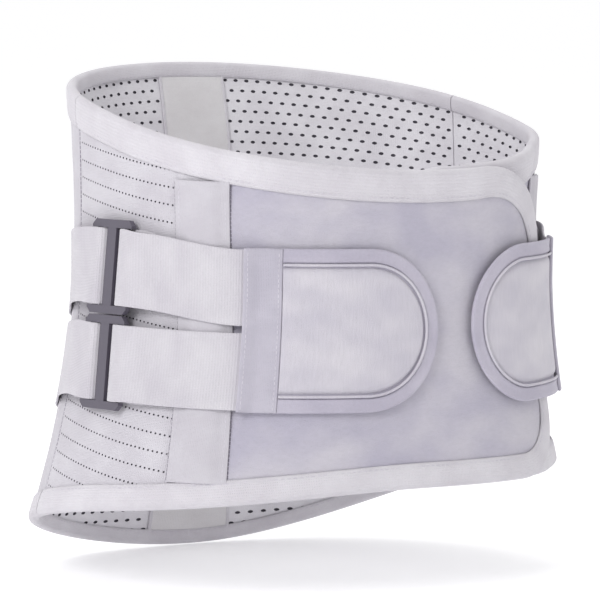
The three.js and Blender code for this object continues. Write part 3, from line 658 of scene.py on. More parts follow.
def pinhole_panel(piece, from_angle, to_angle, groove=None, drop=no_drop):
    """Elastic knit pierced by rows of pinholes, from the bottom rim to the top one."""
    start, end = sorted((length_at(from_angle), length_at(to_angle)))
    count = int((end - start - 1.6) // PINHOLE_PITCH)
    inner = np.linspace(start + 0.8, end - 0.8, count + 1)
    rounding = np.array([0, 0.12, 0.45])
    lengths = np.concatenate([start + rounding, inner, end - rounding[::-1]])
    angle = angle_at(lengths)
    z = pinhole_rows(angle)
    along = np.minimum(lengths - start, end - lengths)
    full = quarter_round(along, EDGE_ROUNDING)[:, None] * np.ones_like(z)
    middle, half = layer_halves(PANEL)
    sink = np.broadcast_to(drop(angle)[:, None], z.shape)
    front = middle + half * full + weave_relief(lengths[:, None], z) * full + sink
    if groove is not None:
        front = front - groove(lengths[:, None], z)
    height = z[:, 1:] - z[:, :-1]
    cell = np.minimum(height[1:], height[:-1])
    holes = np.abs(cell - PINHOLE_CELL) < 0.01
    holes[:4], holes[-4:] = False, False
    length = np.broadcast_to(lengths[:, None], z.shape)
    back = middle - half * full + sink
    perforate(piece, length, z, front, back, PINHOLE, -HOLE_DEPTH, holes)


def make_back_panels():
    centre = Piece("back_panel_centre", SIDE, HOLE)
    pinhole_panel(centre, 180 - REAR_SPLIT, REAR_SPLIT)
    made = lay(centre.build(), "back_section", "perforated_elastic", "back_panel")
    length_at(REAR_SPLIT) - length_at(180 - REAR_SPLIT)
    for side, near, far in ((RIGHT, REAR_SPLIT, BACK_TO), (LEFT, BACK_FROM, 180 - REAR_SPLIT)):
        panel = Piece(f"back_panel_{side.name}", CHANNEL_TAPE)
        plain_panel(panel, columns_between(near, far), PANEL, bottom_at, top_at)
        made = bend(panel.build(), side, "perforated_elastic", "back_panel")
        length_at(far) - length_at(near)


def row_height(angle, share):
    """The lining's rows: parallel to the top rim above, and nearly level at the bottom."""
    fall = 1 - np.sin(np.radians(angle))
    return mix(BOTTOM_RIM["back"], TOP_RIM["back"], share) + (22 - 48 * share) * fall


def eyelet_panel(piece, from_angle, to_angle, low, high, rows_at, rows, drop=no_drop, ends=()):
    """Lining knit with staggered eyelets on the face towards the wearer."""
    start, end = sorted((length_at(from_angle), length_at(to_angle)))
    half_pitch = EYELET_PITCH / 2
    inner = np.arange(start + 1, end - 1, half_pitch)
    lengths = np.unique(np.concatenate([[start], inner, np.asarray(ends, float), [end]]))
    angle = angle_at(lengths)
    z = rows_at(angle[:, None], np.arange(rows + 1)[None, :])
    z = np.clip(z, low(angle)[:, None], high(angle)[:, None])
    sink = np.broadcast_to(drop(angle)[:, None], z.shape)
    front = LINING[0] + weave_relief(lengths[:, None], z) + sink
    back = LINING[1] + sink
    height = z[:, 1:] - z[:, :-1]
    width = np.diff(lengths)[:, None]
    cell = np.minimum(height[1:], height[:-1])
    staggered = (np.arange(width.shape[0])[:, None] + np.arange(rows)[None, :]) % 2 == 0
    holes = staggered & (cell > 4.4) & (np.abs(width - half_pitch) < 0.1)
    length = np.broadcast_to(lengths[:, None], z.shape)
    perforate(piece, length, z, front, back, EYELET, HOLE_DEPTH, holes)


def make_back_linings():
    rows = round((TOP_RIM["back"] - BOTTOM_RIM["back"]) / EYELET_ROW)

    def rows_at(angle, row):
        return row_height(angle, row / rows)

    strip_from, strip_to = CENTRE_STRIP
    for side, near, far in (
        (RIGHT, strip_to + SEAM_GAP, BACK_TO),
        (LEFT, BACK_FROM, strip_from - SEAM_GAP),
    ):
        lining = Piece(f"back_lining_cloth_{side.name}", LINING_KNIT, HOLE)
        eyelet_panel(lining, near, far, bottom_at, top_at, rows_at, rows)
        made = bend(lining.build(), side, "lining", f"back_lining_{side.name}")
        length_at(far) - length_at(near)


def make_centre_strip():
    """The plain strip at the centre back, with a light welted seam down each edge."""
    piece = Piece("centre_lining_strip_cloth", STRIP, TAPE)
    start, end = (length_at(a) for a in CENTRE_STRIP)

    def low(angle):
        return bottom_at(angle) + INNER_TAPE - 1

    def high(angle):
        return top_at(angle) - INNER_TAPE + 1

    plain_panel(piece, columns_between(*CENTRE_STRIP), CENTRE_STRIP_LAYER, low, high)
    share = np.linspace(0, 1, 60)
    for edge in (start, end):
        turn = np.linspace(0, math.tau, 9)[:-1]
        angle = angle_at(edge + 1.1 * np.cos(turn))[None, :]
        z = mix(low(angle), high(angle), share[:, None])
        offset = -0.6 + 0.75 * np.sin(turn)[None, :] + np.zeros_like(z)
        angle = np.broadcast_to(angle, z.shape)
        coordinates = np.stack([length_at(angle), z], axis=-1)
        index = piece.add_points(place(angle, z, offset), coordinates)
        piece.add_lattice(index, 1, close_rows=True)
        piece.add_cap(index[0], 1)
        piece.add_cap(index[-1], 1)
    made = lay(piece.build(), "back_section", "lining_strip", "centre_lining_strip")


def rear_tuck(across, z, side):
    """How far a rear channel's edges come down to the panel, clear of the straps under it."""
    depth = REAR_CHANNEL[0] - PANEL[1] - 0.3
    above = smooth(STRAPS_UNDER[1], STRAPS_UNDER[1] + TUCK_FADE, z)
    below = 1 - smooth(STRAPS_UNDER[0] - TUCK_FADE, STRAPS_UNDER[0], z)
    return -depth * np.where(side.turn * across > 0, above + below, 1.0)


def no_tuck(across, z):
    return np.zeros(np.broadcast(across, z).shape)


def channel(piece, centre_at, width, low, high, layer, rise, drop=no_drop, tuck=no_tuck):
    """A sewn strip that rises over a stay, with a row of stitches down each side and a dark seam
    along each edge, set down in the gap beside the strip: dark thread that also paints the shade of
    that gap."""
    across = ruler(width, 2.4, 0.6) - width / 2
    share = ruler(100, 1.8, 0.3) / 100
    z = mix(low, high, share)[None, :]
    angle = advance(centre_at(z), across[:, None])
    z = np.broadcast_to(z, angle.shape)
    side = np.minimum(across + width / 2, width / 2 - across)
    fade = quarter_round(side, 0.6)[:, None] * quarter_round(np.minimum(z - low, high - z), 0.6)
    lift = rise * smooth(4.5, 8.5, side)[:, None] + weave_relief(across[:, None] + 40, z) * 0.6
    middle, half = layer_halves(layer)
    sunk = -0.35 * np.exp(-(((side - 2.4) / 0.7) ** 2))[:, None]
    tucked = tuck(across[:, None], z) * (1 - smooth(0.5, 7, side))[:, None]
    base = middle + (lift + sunk) * fade + drop(angle) + tucked
    add_slab(piece, angle, z, base + half * fade, base - half * fade)
    line_z = np.linspace(low + 1, high - 1, 80)
    for inset, height, follows, sizes in (
        # The first run is the dark edge seam, sunk low in the gap: dark thread that also paints the
        # gap's shade.
        (-0.35, layer[0] - 0.35, 1.0, {"pitch": 2.4, "length": 2.1, "radius": 0.42, "slot": 2}),
        (2.4, layer[1] - 0.22, 0.8, {"pitch": 2.8, "length": 1.9, "radius": 0.24}),
    ):
        for edge in (inset - width / 2, width / 2 - inset):
            line = advance(centre_at(line_z), edge)
            offset = height + drop(line) + tuck(edge, line_z) * follows
            add_stitches(piece, line, line_z, offset, **sizes)


def make_rear_channels():
    for side in (RIGHT, LEFT):
        middle = sum(REAR_CHANNEL_RANGE) / 2
        middle = middle if side is RIGHT else 180 - middle
        width = length_at(REAR_CHANNEL_RANGE[1]) - length_at(REAR_CHANNEL_RANGE[0])
        low = float(bottom_at(middle)) + BOTTOM_TAPE + 1
        high = float(top_at(middle)) - TOP_TAPE - 1
        piece = Piece(f"rear_channel_{side.name}", CHANNEL_TAPE, THREAD, SEAM_THREAD_AND_SHADE)

        def centre_at(z):
            return np.full_like(z, middle)

        def tuck(across, z):
            return rear_tuck(across, z, side)

        channel(piece, centre_at, width, low, high, REAR_CHANNEL, 0.6, tuck=tuck)
        node = f"rear_stay_channel_{side.name}"
        made = lay(piece.build(), "back_section", "channel_tape", node)


# ------------------------------------------------------------ bindings


def tape_section(width):
    """A tape rolled over an edge: (depth into the panel, offset) of its middle line, and how
    thick it is there. The rolled lip is at depth 0. The outer leg ends at depth width and the
    inner leg at INNER_TAPE."""
    leg = np.array([1.0, 0.985, 0.93, 0.84, 0.72, 0.55, 0.38, 0.2])
    rise = np.array([3.95, 3.97, 4.12, 4.4, 4.6, 4.68, 4.66, 4.6])
    turn = np.radians(np.linspace(72, -72, 9))
    lip = np.stack([1.7 - 2.9 * np.cos(turn), 1.7 + 2.9 * np.sin(turn)], axis=1)
    outer = np.stack([leg * width, rise], axis=1)
    inner = np.stack([leg[::-1] * INNER_TAPE, 3.4 - rise[::-1]], axis=1)
    line = np.concatenate([outer, lip, inner])
    thick = np.full(len(line), 0.5)
    thick[[0, -1]] = 0.16
    thick[[1, -2]] = 0.38
    return line, thick


def roll_binding(piece, stations, drop=no_drop):
    """Carries the rolled tape along stations of (angle, z, along, up, width), and sews it."""
    angle, z, along, up, width = (np.array(v, float) for v in zip(*stations))
    run = run_along(place(angle, z, 2))
    rows = []
    for k in range(len(angle)):
        line, thick = tape_section(width[k])
        normal = line_normals(line)
        near, far = line + normal * thick[:, None], line - normal * thick[:, None]
        rows.append(np.concatenate([near, far[::-1]]))
    section = np.array(rows)
    depth, offset = section[..., 0], section[..., 1]
    pucker = np.sin(run * 1.05 + 0.8 * np.sin(run * 0.21)) * 0.10 + np.sin(run * 0.13) * 0.12
    outside = (offset > 2.5) & (depth > 1)
    offset = offset + np.where(outside, pucker[:, None], 0)
    at = advance(angle[:, None], depth * along[:, None])
    height = z[:, None] + depth * up[:, None]
    points = place(at, height, offset + drop(at))
    sides = section.shape[1]
    coordinates = np.stack(np.broadcast_arrays(run[:, None], np.arange(sides) * 1.2), axis=-1)
    index = piece.add_points(points, coordinates)
    piece.add_lattice(index, close_rows=True)
    piece.add_cap(index[0])
    piece.add_cap(index[-1])
    for sewn, height in ((width * SEWN_AT, 4.85), (INNER_TAPE * SEWN_AT, -1.4)):
        line = advance(angle, sewn * along)
        add_stitches(piece, line, z + sewn * up, height + drop(line), 3.6, 2.4, 0.26)
    return float(run[-1])


def rim_stations(from_angle, to_angle, rim_at, up, width):
    lengths = length_at(from_angle), length_at(to_angle)
    count = max(2, round(abs(lengths[1] - lengths[0]) / 3.2))
    angles = angle_at(np.linspace(*lengths, count + 1))
    return [(a, float(rim_at(a)), 0.0, up, width) for a in angles]


def make_back_bindings():
    middle = sum(CENTRE_STRIP) / 2
    for side, near, far in ((RIGHT, middle, BACK_TO), (LEFT, BACK_FROM, middle)):
        for level, rim_at, up, width in (
            ("top", top_at, -1.0, TOP_TAPE),
            ("bottom", bottom_at, 1.0, BOTTOM_TAPE),
        ):
            piece = Piece(f"back_{level}_tape_{side.name}", TAPE, THREAD)
            run = roll_binding(piece, rim_stations(near, far, rim_at, up, width))
            made = bend(piece.build(), side, "binding_tape", f"back_{level}_binding")


def corner_stations(end, turn, level):
    """Stations round one corner of a flap's free end, from the rim to the end edge."""
    sign = 1 if level == "top" else -1
    rim_at = top_at if level == "top" else bottom_at
    rim_width = TOP_TAPE if level == "top" else BOTTOM_TAPE
    radius, corner_z = FLAP_CORNER[level], float(rim_at(end))
    stations = []
    for share in np.linspace(0, 1, 15):
        t = share * math.pi / 2
        angle = float(advance(end, -turn * radius * (1 - math.sin(t))))
        z = mix(float(rim_at(angle)), corner_z, share) - sign * radius * (1 - math.cos(t))
        width = mix(rim_width, END_TAPE, share)
        stations.append((angle, z, -turn * math.sin(t), -sign * math.cos(t), width))
    return stations


def flap_stations(start, end, turn):
    upper = corner_stations(end, turn, "top")
    lower = corner_stations(end, turn, "bottom")[::-1]
    top = rim_stations(start, upper[0][0], top_at, -1.0, TOP_TAPE)[:-1]
    bottom = rim_stations(lower[-1][0], start, bottom_at, 1.0, BOTTOM_TAPE)[1:]
    above, below = upper[-1], lower[0]
    count = round((above[1] - below[1]) / 3.2)
    straight = [
        (above[0], mix(above[1], below[1], k / count), *above[2:]) for k in range(1, count)
    ]
    return top + upper + straight + lower + bottom


def flap_bounds(end, turn):
    """The flap's lower and upper outline as functions of angle, round corners and all."""

    def bound(level, rim_at):
        corner = corner_stations(end, turn, level)
        ahead = np.array([turn * s[0] for s in corner])
        heights = np.array([s[1] for s in corner])

        def at(angle):
            t = turn * np.asarray(angle, float)
            return np.where(t <= ahead[0], rim_at(angle), np.interp(t, ahead, heights))

        return at

    return bound("bottom", bottom_at), bound("top", top_at)


# ------------------------------------------------------------ flaps


def end_lengths(end, turn):
    """Extra lattice columns that close up towards a flap's rounded end."""
    reach = FLAP_CORNER["top"] * (1 - np.sin(np.linspace(0, 1, 16)[1:] * math.pi / 2))
    return length_at(end) - turn * reach


def channel_groove(side):
    """The pressed line beside the front channel, where the panels run under it."""

    def groove(length, z):
        centre = length_at(side.angle(STAY_CENTRE + STAY_SLANT * z))
        away = np.abs(np.abs(length - centre) - CHANNEL_WIDTH / 2 - 0.3)
        return CHANNEL_GROOVE * np.exp(-((away / 1.0) ** 2))

    return groove


def make_side_panel(side, start, drop):
    piece = Piece(f"{side.flap}_side_cloth", SIDE, HOLE, SEAM_THREAD_AND_SHADE)
    end = side.angle(STAY_CENTRE)
    pinhole_panel(piece, start, end, channel_groove(side), drop)
    seam = advance(start, side.turn * 1.6)
    z = np.linspace(float(bottom_at(seam)) + BOTTOM_TAPE, float(top_at(seam)) - TOP_TAPE, 90)
    add_stitches(piece, np.full(90, seam), z, PANEL[1], 2.6, 2.3, 0.3, 2)
    made = bend(piece.build(), side, "perforated_elastic", f"{side.flap}_side_panel")
    abs(length_at(start) - length_at(end))


def make_flap_panel(side, end, drop):
    piece = Piece(f"{side.flap}_flap_cloth", LOOP)
    low, high = flap_bounds(end, side.turn)
    columns = columns_between(side.angle(STAY_CENTRE), end, 3.5)
    lengths = np.unique(np.concatenate([columns, end_lengths(end, side.turn)]))
    plain_panel(piece, lengths, PANEL, low, high, channel_groove(side), drop)
    made = lay(piece.build(), f"{side.flap}_flap", "loop_fabric", f"{side.flap}_flap_panel")


def make_flap_lining(side, start, end, drop):
    piece = Piece(f"{side.flap}_lining_cloth", LINING_KNIT, HOLE)
    low, high = flap_bounds(end, side.turn)

    def rows_at(angle, row):
        return top_at(angle) - EYELET_ROW * (FLAP_EYELET_ROWS - row)

    ends = end_lengths(end, side.turn)
    eyelet_panel(piece, start, end, low, high, rows_at, FLAP_EYELET_ROWS, drop, ends)
    made = bend(piece.build(), side, "lining", f"{side.flap}_flap_lining")
    abs(length_at(start) - length_at(end))


def make_front_channel(side, drop):
    piece = Piece(f"{side.flap}_channel_strip", CHANNEL_TAPE, THREAD, SEAM_THREAD_AND_SHADE)

    def centre_at(z):
        return side.angle(STAY_CENTRE + STAY_SLANT * z)

    middle = centre_at(0.0)
    low = float(bottom_at(middle)) + BOTTOM_TAPE - 0.5
    high = float(top_at(middle)) - TOP_TAPE - 0.5
    channel(piece, centre_at, CHANNEL_WIDTH, low, high, CHANNEL, CHANNEL_RISE, drop)
    node = f"{side.flap}_flap_stay_channel"
    made = lay(piece.build(), f"{side.flap}_flap", "channel_tape", node)


def make_flap(side, end, drop):
    start = side.angle(SIDE_SEAM) + side.turn * SEAM_GAP / 2
    make_side_panel(side, start, drop)
    make_flap_panel(side, end, drop)
    make_flap_lining(side, start, end, drop)
    make_front_channel(side, drop)
    piece = Piece(f"{side.flap}_flap_tape", TAPE, THREAD)
    run = roll_binding(piece, flap_stations(start, end, side.turn), drop)
    made = bend(piece.build(), side, "binding_tape", f"{side.flap}_flap_binding")


def make_flap_hooks():
    piece = Piece("flap_hook_field", HOOK)
    start, end = (length_at(a) for a in FLAP_HOOK_RANGE)
    lengths = start + ruler(end - start, 3)
    z = (ruler(2 * FLAP_HOOK_HALF_HEIGHT, 3) - FLAP_HOOK_HALF_HEIGHT)[None, :]
    z = np.broadcast_to(z, (len(lengths), z.shape[1]))
    angle = np.broadcast_to(angle_at(lengths)[:, None], z.shape)
    full = edge_fade(lengths, z, 0.5)
    middle, half = layer_halves(FLAP_HOOKS)
    add_slab(piece, angle, z, middle + half * full, middle - half * full)
    lay(piece.build(), "outer_flap", "hooks", "outer_flap_hook_patch")


# ------------------------------------------------------------ rings and webbing


class RingFrame:
    """The plane of a side's two rings: along it, up it and out of it."""

    def __init__(self, side):
        angle = side.angle(RING_ANGLE)
        low = place(angle, RING_MIDDLE_Z - RING_REACH, RING_STANDOFF)
        high = place(angle, RING_MIDDLE_Z + RING_REACH, RING_STANDOFF)
        up = (high - low) / np.linalg.norm(high - low)
        across = body_point(angle + 1, RING_MIDDLE_Z) - body_point(angle - 1, RING_MIDDLE_Z)
        forward = across * side.turn
        forward -= up * forward.dot(up)
        forward /= np.linalg.norm(forward)
        self.up, self.forward = up, forward
        self.out = np.cross(forward, up) * side.turn
        self.middle = (low + high) / 2

    def point(self, along, height, depth):
        parts = np.broadcast_arrays(along, height, depth)
        axes = (self.forward, self.up, self.out)
        return self.middle + sum(part[..., None] * axis for part, axis in zip(parts, axes))


FRAMES = {side: RingFrame(side) for side in (RIGHT, LEFT)}


def web_strap(piece, side, line, ring_height, centre_at):
    """Webbing along a middle line of (x, y, w). Near the rod (w = 1) x and y are along and out
    from the ring's plane. On the body (w = 0) x is the length from the ring and y the offset."""
    line = refine(np.array(line, float))
    x, y, w = line.T
    normal = line_normals(line[:, :2])
    run = run_along(line[:, :2])
    across = ruler(STRAP_WIDTH, 2.2, 0.6) - STRAP_WIDTH / 2
    inset = STRAP_WIDTH / 2 - np.abs(across)
    thick = WEB / 2 * quarter_round(inset, 0.6) * (1 + 0.16 * np.exp(-(((inset - 1.3) / 0.9) ** 2)))
    ends = quarter_round(np.minimum(run, run[-1] - run), 0.6)
    middle = side.angle(RING_ANGLE)
    frame_at = FRAMES[side]

    def face(sign):
        half = sign * thick[None, :] * ends[:, None]
        along = x[:, None] + normal[:, :1] * half
        out = y[:, None] + normal[:, 1:] * half
        near = frame_at.point(along, ring_height + across[None, :], out)
        angle = advance(middle, side.turn * along)
        sag = 0.25 * np.sin(run[:, None] * 0.13) * (1 - w[:, None])
        far = place(angle, centre_at(along) + across[None, :], out + sag)
        return mix(far, near, w[:, None, None])

    coordinates = np.stack(np.broadcast_arrays(run[:, None], across[None, :]), axis=-1)
    outside = piece.add_points(face(1), coordinates)
    inside = piece.add_points(face(-1), coordinates)
    piece.add_lattice(outside)
    piece.add_lattice(inside)
    add_edge(piece, outside, inside, 0)
    return float(run[-1])


def refine(line, step=2.2):
    """A polyline with its corners rounded by two passes of cutting, and points every step."""
    for _ in range(2):
        cut = [line[0]]
        for a, b in zip(line[:-1], line[1:]):
            cut += [mix(a, b, 0.25), mix(a, b, 0.75)]
        line = np.array(cut + [line[-1]])
    run = run_along(line[:, :2])
    ends = np.array([0.07, 0.27, 0.6])
    count = max(3, round(run[-1] / step))
    inner = np.linspace(ends[-1], run[-1] - ends[-1], count)
    places = np.concatenate([[0], ends[:-1], inner, run[-1] - ends[:-1][::-1], [run[-1]]])
    return np.stack([np.interp(places, run, line[:, k]) for k in range(3)], axis=-1)


def rod_turn(direction):
    """The middle line of the fold round a rod, from above it to below it. The fold stands off
    the rod and reaches towards the ring's centre bar."""
    radius = ROD_RADIUS + LOOP_CLEARANCE + WEB / 2
    turn = np.radians(np.linspace(90, -90, 15))
    x = direction * (ROD_OFFSET - (radius + FOLD_REACH) * np.cos(turn))
    return [(a, b, 1.0) for a, b in zip(x, radius * np.sin(turn))]


def stand_off(side, along, height, depth):
    """Offset from the body of a point given in the ring's own plane."""
    point = FRAMES[side].point(np.array([float(along)]), height, depth)
    return body_offset(point)[0]


def lengths_from_ring(side, angle):
    return abs(float(length_at(angle) - length_at(side.angle(RING_ANGLE))))


def make_rear_strap(side, level, height):
    """Webbing from the rear channel to the ring's rear rod, folded round it and sewn back."""
    end = REAR_STRAP_END - 360 if side is RIGHT else 180 - REAR_STRAP_END
    far = lengths_from_ring(side, end)
    fold = rod_turn(-1)
    line = [(-far, REAR_STRAP + 0.25, 0.0)]
    line += [(-x, REAR_STRAP, 0.0) for x in np.arange(far - 8, REAR_STRAP_SETTLES, -8)]
    for x in np.arange(REAR_STRAP_SETTLES, 18, -6):
        on_ring = stand_off(side, -x, height, fold[0][1] - 0.3)
        share = smooth(REAR_STRAP_SETTLES, 14, x)
        line.append((-x, float(mix(REAR_STRAP, on_ring, share)), 0.0))
    line += fold
    line += [(-17, -2.55, 1.0), (-22, -2.2, 1.0), (-27, -1.6, 1.0)]
    ring_z = RING_MIDDLE_Z + height

    def centre_at(x):
        return ring_z - REAR_STRAP_FALL * smooth(18, REAR_STRAP_FALL_REACH, -x)

    piece = Piece(f"{level}_rear_webbing_{side.name}", WEBBING)
    run = web_strap(piece, side, line, height, centre_at)
    name = f"{level}_rear_strap_{side.name}"
    made = bend(piece.build(), side, "webbing", name, f"{level}_ring_loop_{side.name}")


def tab_start(side):
    return side.angle(BAND_START + (LEFT_TAB_SHIFT if side is LEFT else 0))


def band_lift(side, x):
    """How far the straps lift the band at a length from its outer edge."""
    if side is LEFT:
        return np.full(np.shape(x), STRAP_DROP)
    return STRAP_DROP * (1 - smooth(0, STRAP_DROP_LENGTH, x))


def make_pull_strap(side, level, height):
    """Webbing from under the tab's band to the ring's front rod, folded round it."""
    band_at = lengths_from_ring(side, tab_start(side))
    line = [(30, STRAP_OVER_CHANNEL - 1.5, 0.0), (24, -1.9, 0.8), (18, -2.45, 1.0)]
    fold = rod_turn(1)[::-1]
    line += fold
    for x in np.arange(20, band_at - 3, 6):
        on_ring = stand_off(side, x, height, fold[-1][1] - 0.3)
        share = smooth(36, 14, x)
        line.append((x, float(mix(STRAP_OVER_CHANNEL, on_ring, share)), 0.0))
    for x in (0, 3, 6, STRAP_DROP_LENGTH, STRAP_UNDER_BAND):
        offset = STRAP_OVER_CHANNEL - STRAP_DROP + float(band_lift(side, x))
        line.append((band_at + x, offset, 0.0))
    ring_z = RING_MIDDLE_Z + height
    band_z = math.copysign(STRAP_SPACING_AT_BAND / 2, height)

    def centre_at(x):
        return mix(ring_z, band_z, smooth(18, band_at, x))

    piece = Piece(f"{level}_pull_webbing_{side.name}", WEBBING)
    run = web_strap(piece, side, line, height, centre_at)
    node = f"{level}_pull_strap_{side.name}"
    made = lay(piece.build(), f"tab_{side.name}", "webbing", node)


def finish_ring(side, level):
    """The moulded ring keeps its CAD shape, with its edges rounded off."""
    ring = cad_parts[f"{level}_ring_{side.name}"]
    ring.data.materials.clear()
    ring.data.materials.append(RING)
    edges = ring.modifiers.new("edges", "BEVEL")
    edges.width = 0.4 * MM
    edges.segments = 2
    edges.limit_method = "ANGLE"
    edges.angle_limit = math.radians(40)


# ------------------------------------------------------------ pull tabs


def on_tab(side, x, y, offset):
    return place(advance(tab_start(side), side.turn * np.asarray(x, float)), y, offset)


def tab_coordinates(x, y):
    return np.stack(np.broadcast_arrays(x, y), axis=-1)


def tab_slab(piece, side, x, y, front, back, slot=0):
    coordinates = tab_coordinates(x, y)
    near = piece.add_points(on_tab(side, x, y, front), coordinates)
    far = piece.add_points(on_tab(side, x, y, back), coordinates)
    piece.add_lattice(near, slot)
    piece.add_lattice(far, slot)
    add_edge(piece, near, far, slot)


def tab_stitches(piece, side, x, y, offset, **sizes):
    angle = advance(tab_start(side), side.turn * np.asarray(x, float))
    add_stitches(piece, angle, np.asarray(y, float), offset, **sizes)


def make_band(side):
    """The upright band that covers the straps' ends at the root of a tab."""
    piece = Piece(f"tab_band_tape_{side.name}", BAND_TAPE, THREAD)
    x = ruler(BAND_LENGTH, 1.8, 0.8)
    y = ruler(2 * TAB_HALF_HEIGHT, 3, 0.8) - TAB_HALF_HEIGHT
    full = edge_fade(x, np.broadcast_to(y, (len(x), len(y))), 0.8)
    middle, half = layer_halves(BAND)
    lift = band_lift(side, x)[:, None]
    seams = BAND_SEAM_INSET, BAND_LENGTH - BAND_SEAM_INSET
    sewn = np.minimum(np.abs(x - seams[0]), np.abs(seams[1] - x))[:, None]
    front = middle + half * full + lift - 0.35 * np.exp(-((sewn / 0.9) ** 2))
    grid_x, grid_y = np.meshgrid(x, y, indexing="ij")
    tab_slab(piece, side, grid_x, grid_y, front, middle - half * full + lift)
    up = np.linspace(-TAB_HALF_HEIGHT + 1, TAB_HALF_HEIGHT - 1, BAND_STITCH_LINE)
    for seam in seams:
        at = np.full(BAND_STITCH_LINE, seam)
        offset = BAND[1] + float(band_lift(side, seam)) - 0.25
        tab_stitches(piece, side, at, up, offset, pitch=2.9, length=2.0, radius=0.26)
    made = lay(piece.build(), f"tab_{side.name}", "tab_band", f"tab_band_{side.name}")


def tab_path():
    """The tab's outline from its root round the tip and back: x, y and the inward direction."""
    start, turn_at = BAND_LENGTH + ROOT_GAP, BAND_LENGTH + TAB_STRAIGHT
    straight = np.linspace(start, turn_at, 20)[:-1]
    turn = np.linspace(math.pi / 2, -math.pi / 2, 56)
    x = np.concatenate([straight, turn_at + TAB_HALF_HEIGHT * np.cos(turn), straight[::-1]])
    ones = np.ones(len(straight))
    y = TAB_HALF_HEIGHT * np.concatenate([ones, np.sin(turn), -ones])
    inward_x = np.concatenate([0 * ones, -np.cos(turn), 0 * ones])
    inward_y = np.concatenate([-ones, -np.sin(turn), ones])
    return x, y, inward_x, inward_y


def sweep_tab(piece, side, section, slot=0):
    """Carries a closed section of (inset, offset) points round the tab's outline."""
    x, y, inward_x, inward_y = tab_path()
    inset, offset = np.array(section, float).T
    across = x[:, None] + inset * inward_x[:, None]
    up = y[:, None] + inset * inward_y[:, None]
    offset = np.broadcast_to(offset, across.shape)
    index = piece.add_points(on_tab(side, across, up, offset), tab_coordinates(across, up))
    piece.add_lattice(index, slot, close_rows=True)
    piece.add_cap(index[0], slot)
    piece.add_cap(index[-1], slot)


def tab_layer(side):
    lift = LEFT_TAB_LIFT if side is LEFT else 0
    return TAB[0] + lift, TAB[1] + lift


def make_rim(side):
    """The pressed rim of a tab, and the round bead that runs along its inner edge."""
    low, high = tab_layer(side)
    piece = Piece(f"tab_rim_cloth_{side.name}", RIM_CLOTH, TAB_CLOTH)
    rim = [
        (0.0, low + 0.9), (0.12, low + 1.5), (0.5, low + 1.95), (1.2, low + 2.15),
        (3.0, low + 2.05), (5.0, low + 1.95), (6.6, low + 2.15), (7.5, low + 2.3),
        (RIM_WIDTH, low + 2.0), (RIM_WIDTH + 0.15, low + 1.2), (RIM_WIDTH + 0.1, low),
        (4.0, low), (0.6, low), (0.1, low + 0.35),
    ]
    sweep_tab(piece, side, rim)
    outer, inner = RIM_WIDTH - 0.4, PAD_INSET + 1
    sweep_tab(piece, side, [(outer, low + 0.9), (inner, low + 0.9), (inner, low), (outer, low)])
    turn = np.linspace(0, math.tau, 11)[:-1]
    centre = high + 0.15
    inset, offset = BEAD_CENTRE + BEAD_RADIUS * np.cos(turn), centre + BEAD_RADIUS * np.sin(turn)
    sweep_tab(piece, side, np.stack([inset, offset], axis=1), 1)
    lay(piece.build(60), f"tab_{side.name}", "tab_rim", f"tab_rim_{side.name}")


def tab_grid(half_height, from_x, step):
    """A lattice over a D shape: straight rows, then columns that close up round the tip."""
    turn_at = BAND_LENGTH + TAB_STRAIGHT
    straight = np.linspace(from_x + 0.6, turn_at, max(2, round((turn_at - from_x) / step)))[:-1]
    straight = np.concatenate([[from_x, from_x + 0.15], straight])
    turn = np.linspace(0, math.pi / 2, max(6, round(half_height * 1.4 / step)))
    x = np.concatenate([straight, turn_at + half_height * np.sin(turn)])
    half = np.concatenate([np.full(len(straight), half_height), half_height * np.cos(turn)])
    share = np.linspace(-1, 1, max(6, round(2 * half_height / step)))
    return np.broadcast_to(x[:, None], (len(x), len(share))), half[:, None] * share


def inflate(made, fixed, limit):
    """Swells a pad by cloth simulation. fixed marks the points that stay sewn down, and limit
    is the furthest that any point may move, in millimetres."""
    rest = np.array([v.co for v in made.data.vertices], float)
    group = made.vertex_groups.new(name="sewn")
    group.add([int(i) for i in np.flatnonzero(fixed)], 1.0, "REPLACE")
    cloth_modifier = made.modifiers.new("swell", "CLOTH")
    settings = cloth_modifier.settings
    settings.quality = 5
    settings.mass = 0.3
    settings.tension_stiffness = 40
    settings.compression_stiffness = 40
    settings.bending_stiffness = 3
    settings.use_pressure = True
    settings.uniform_pressure_force = 4
    settings.vertex_group_mass = "sewn"
    settings.effector_weights.gravity = 0
    scene = bpy.context.scene
    cloth_modifier.point_cache.frame_start = 1
    cloth_modifier.point_cache.frame_end = SWELL_FRAMES
    for step in range(1, SWELL_FRAMES + 1):
        scene.frame_set(step)
    evaluated = made.evaluated_get(bpy.context.evaluated_depsgraph_get())
    swollen = np.array([v.co for v in evaluated.data.vertices], float)
    made.modifiers.remove(cloth_modifier)
    scene.frame_set(1)
    move = swollen - rest
    size = np.linalg.norm(move, axis=1, keepdims=True)
    capped = limit * MM * np.tanh(size / (limit * MM))
    moved = rest + move * np.where(size > 0, capped / np.maximum(size, 1e-9), 0)
    made.data.vertices.foreach_set("co", moved.astype(np.float32).ravel())
    made.data.update()


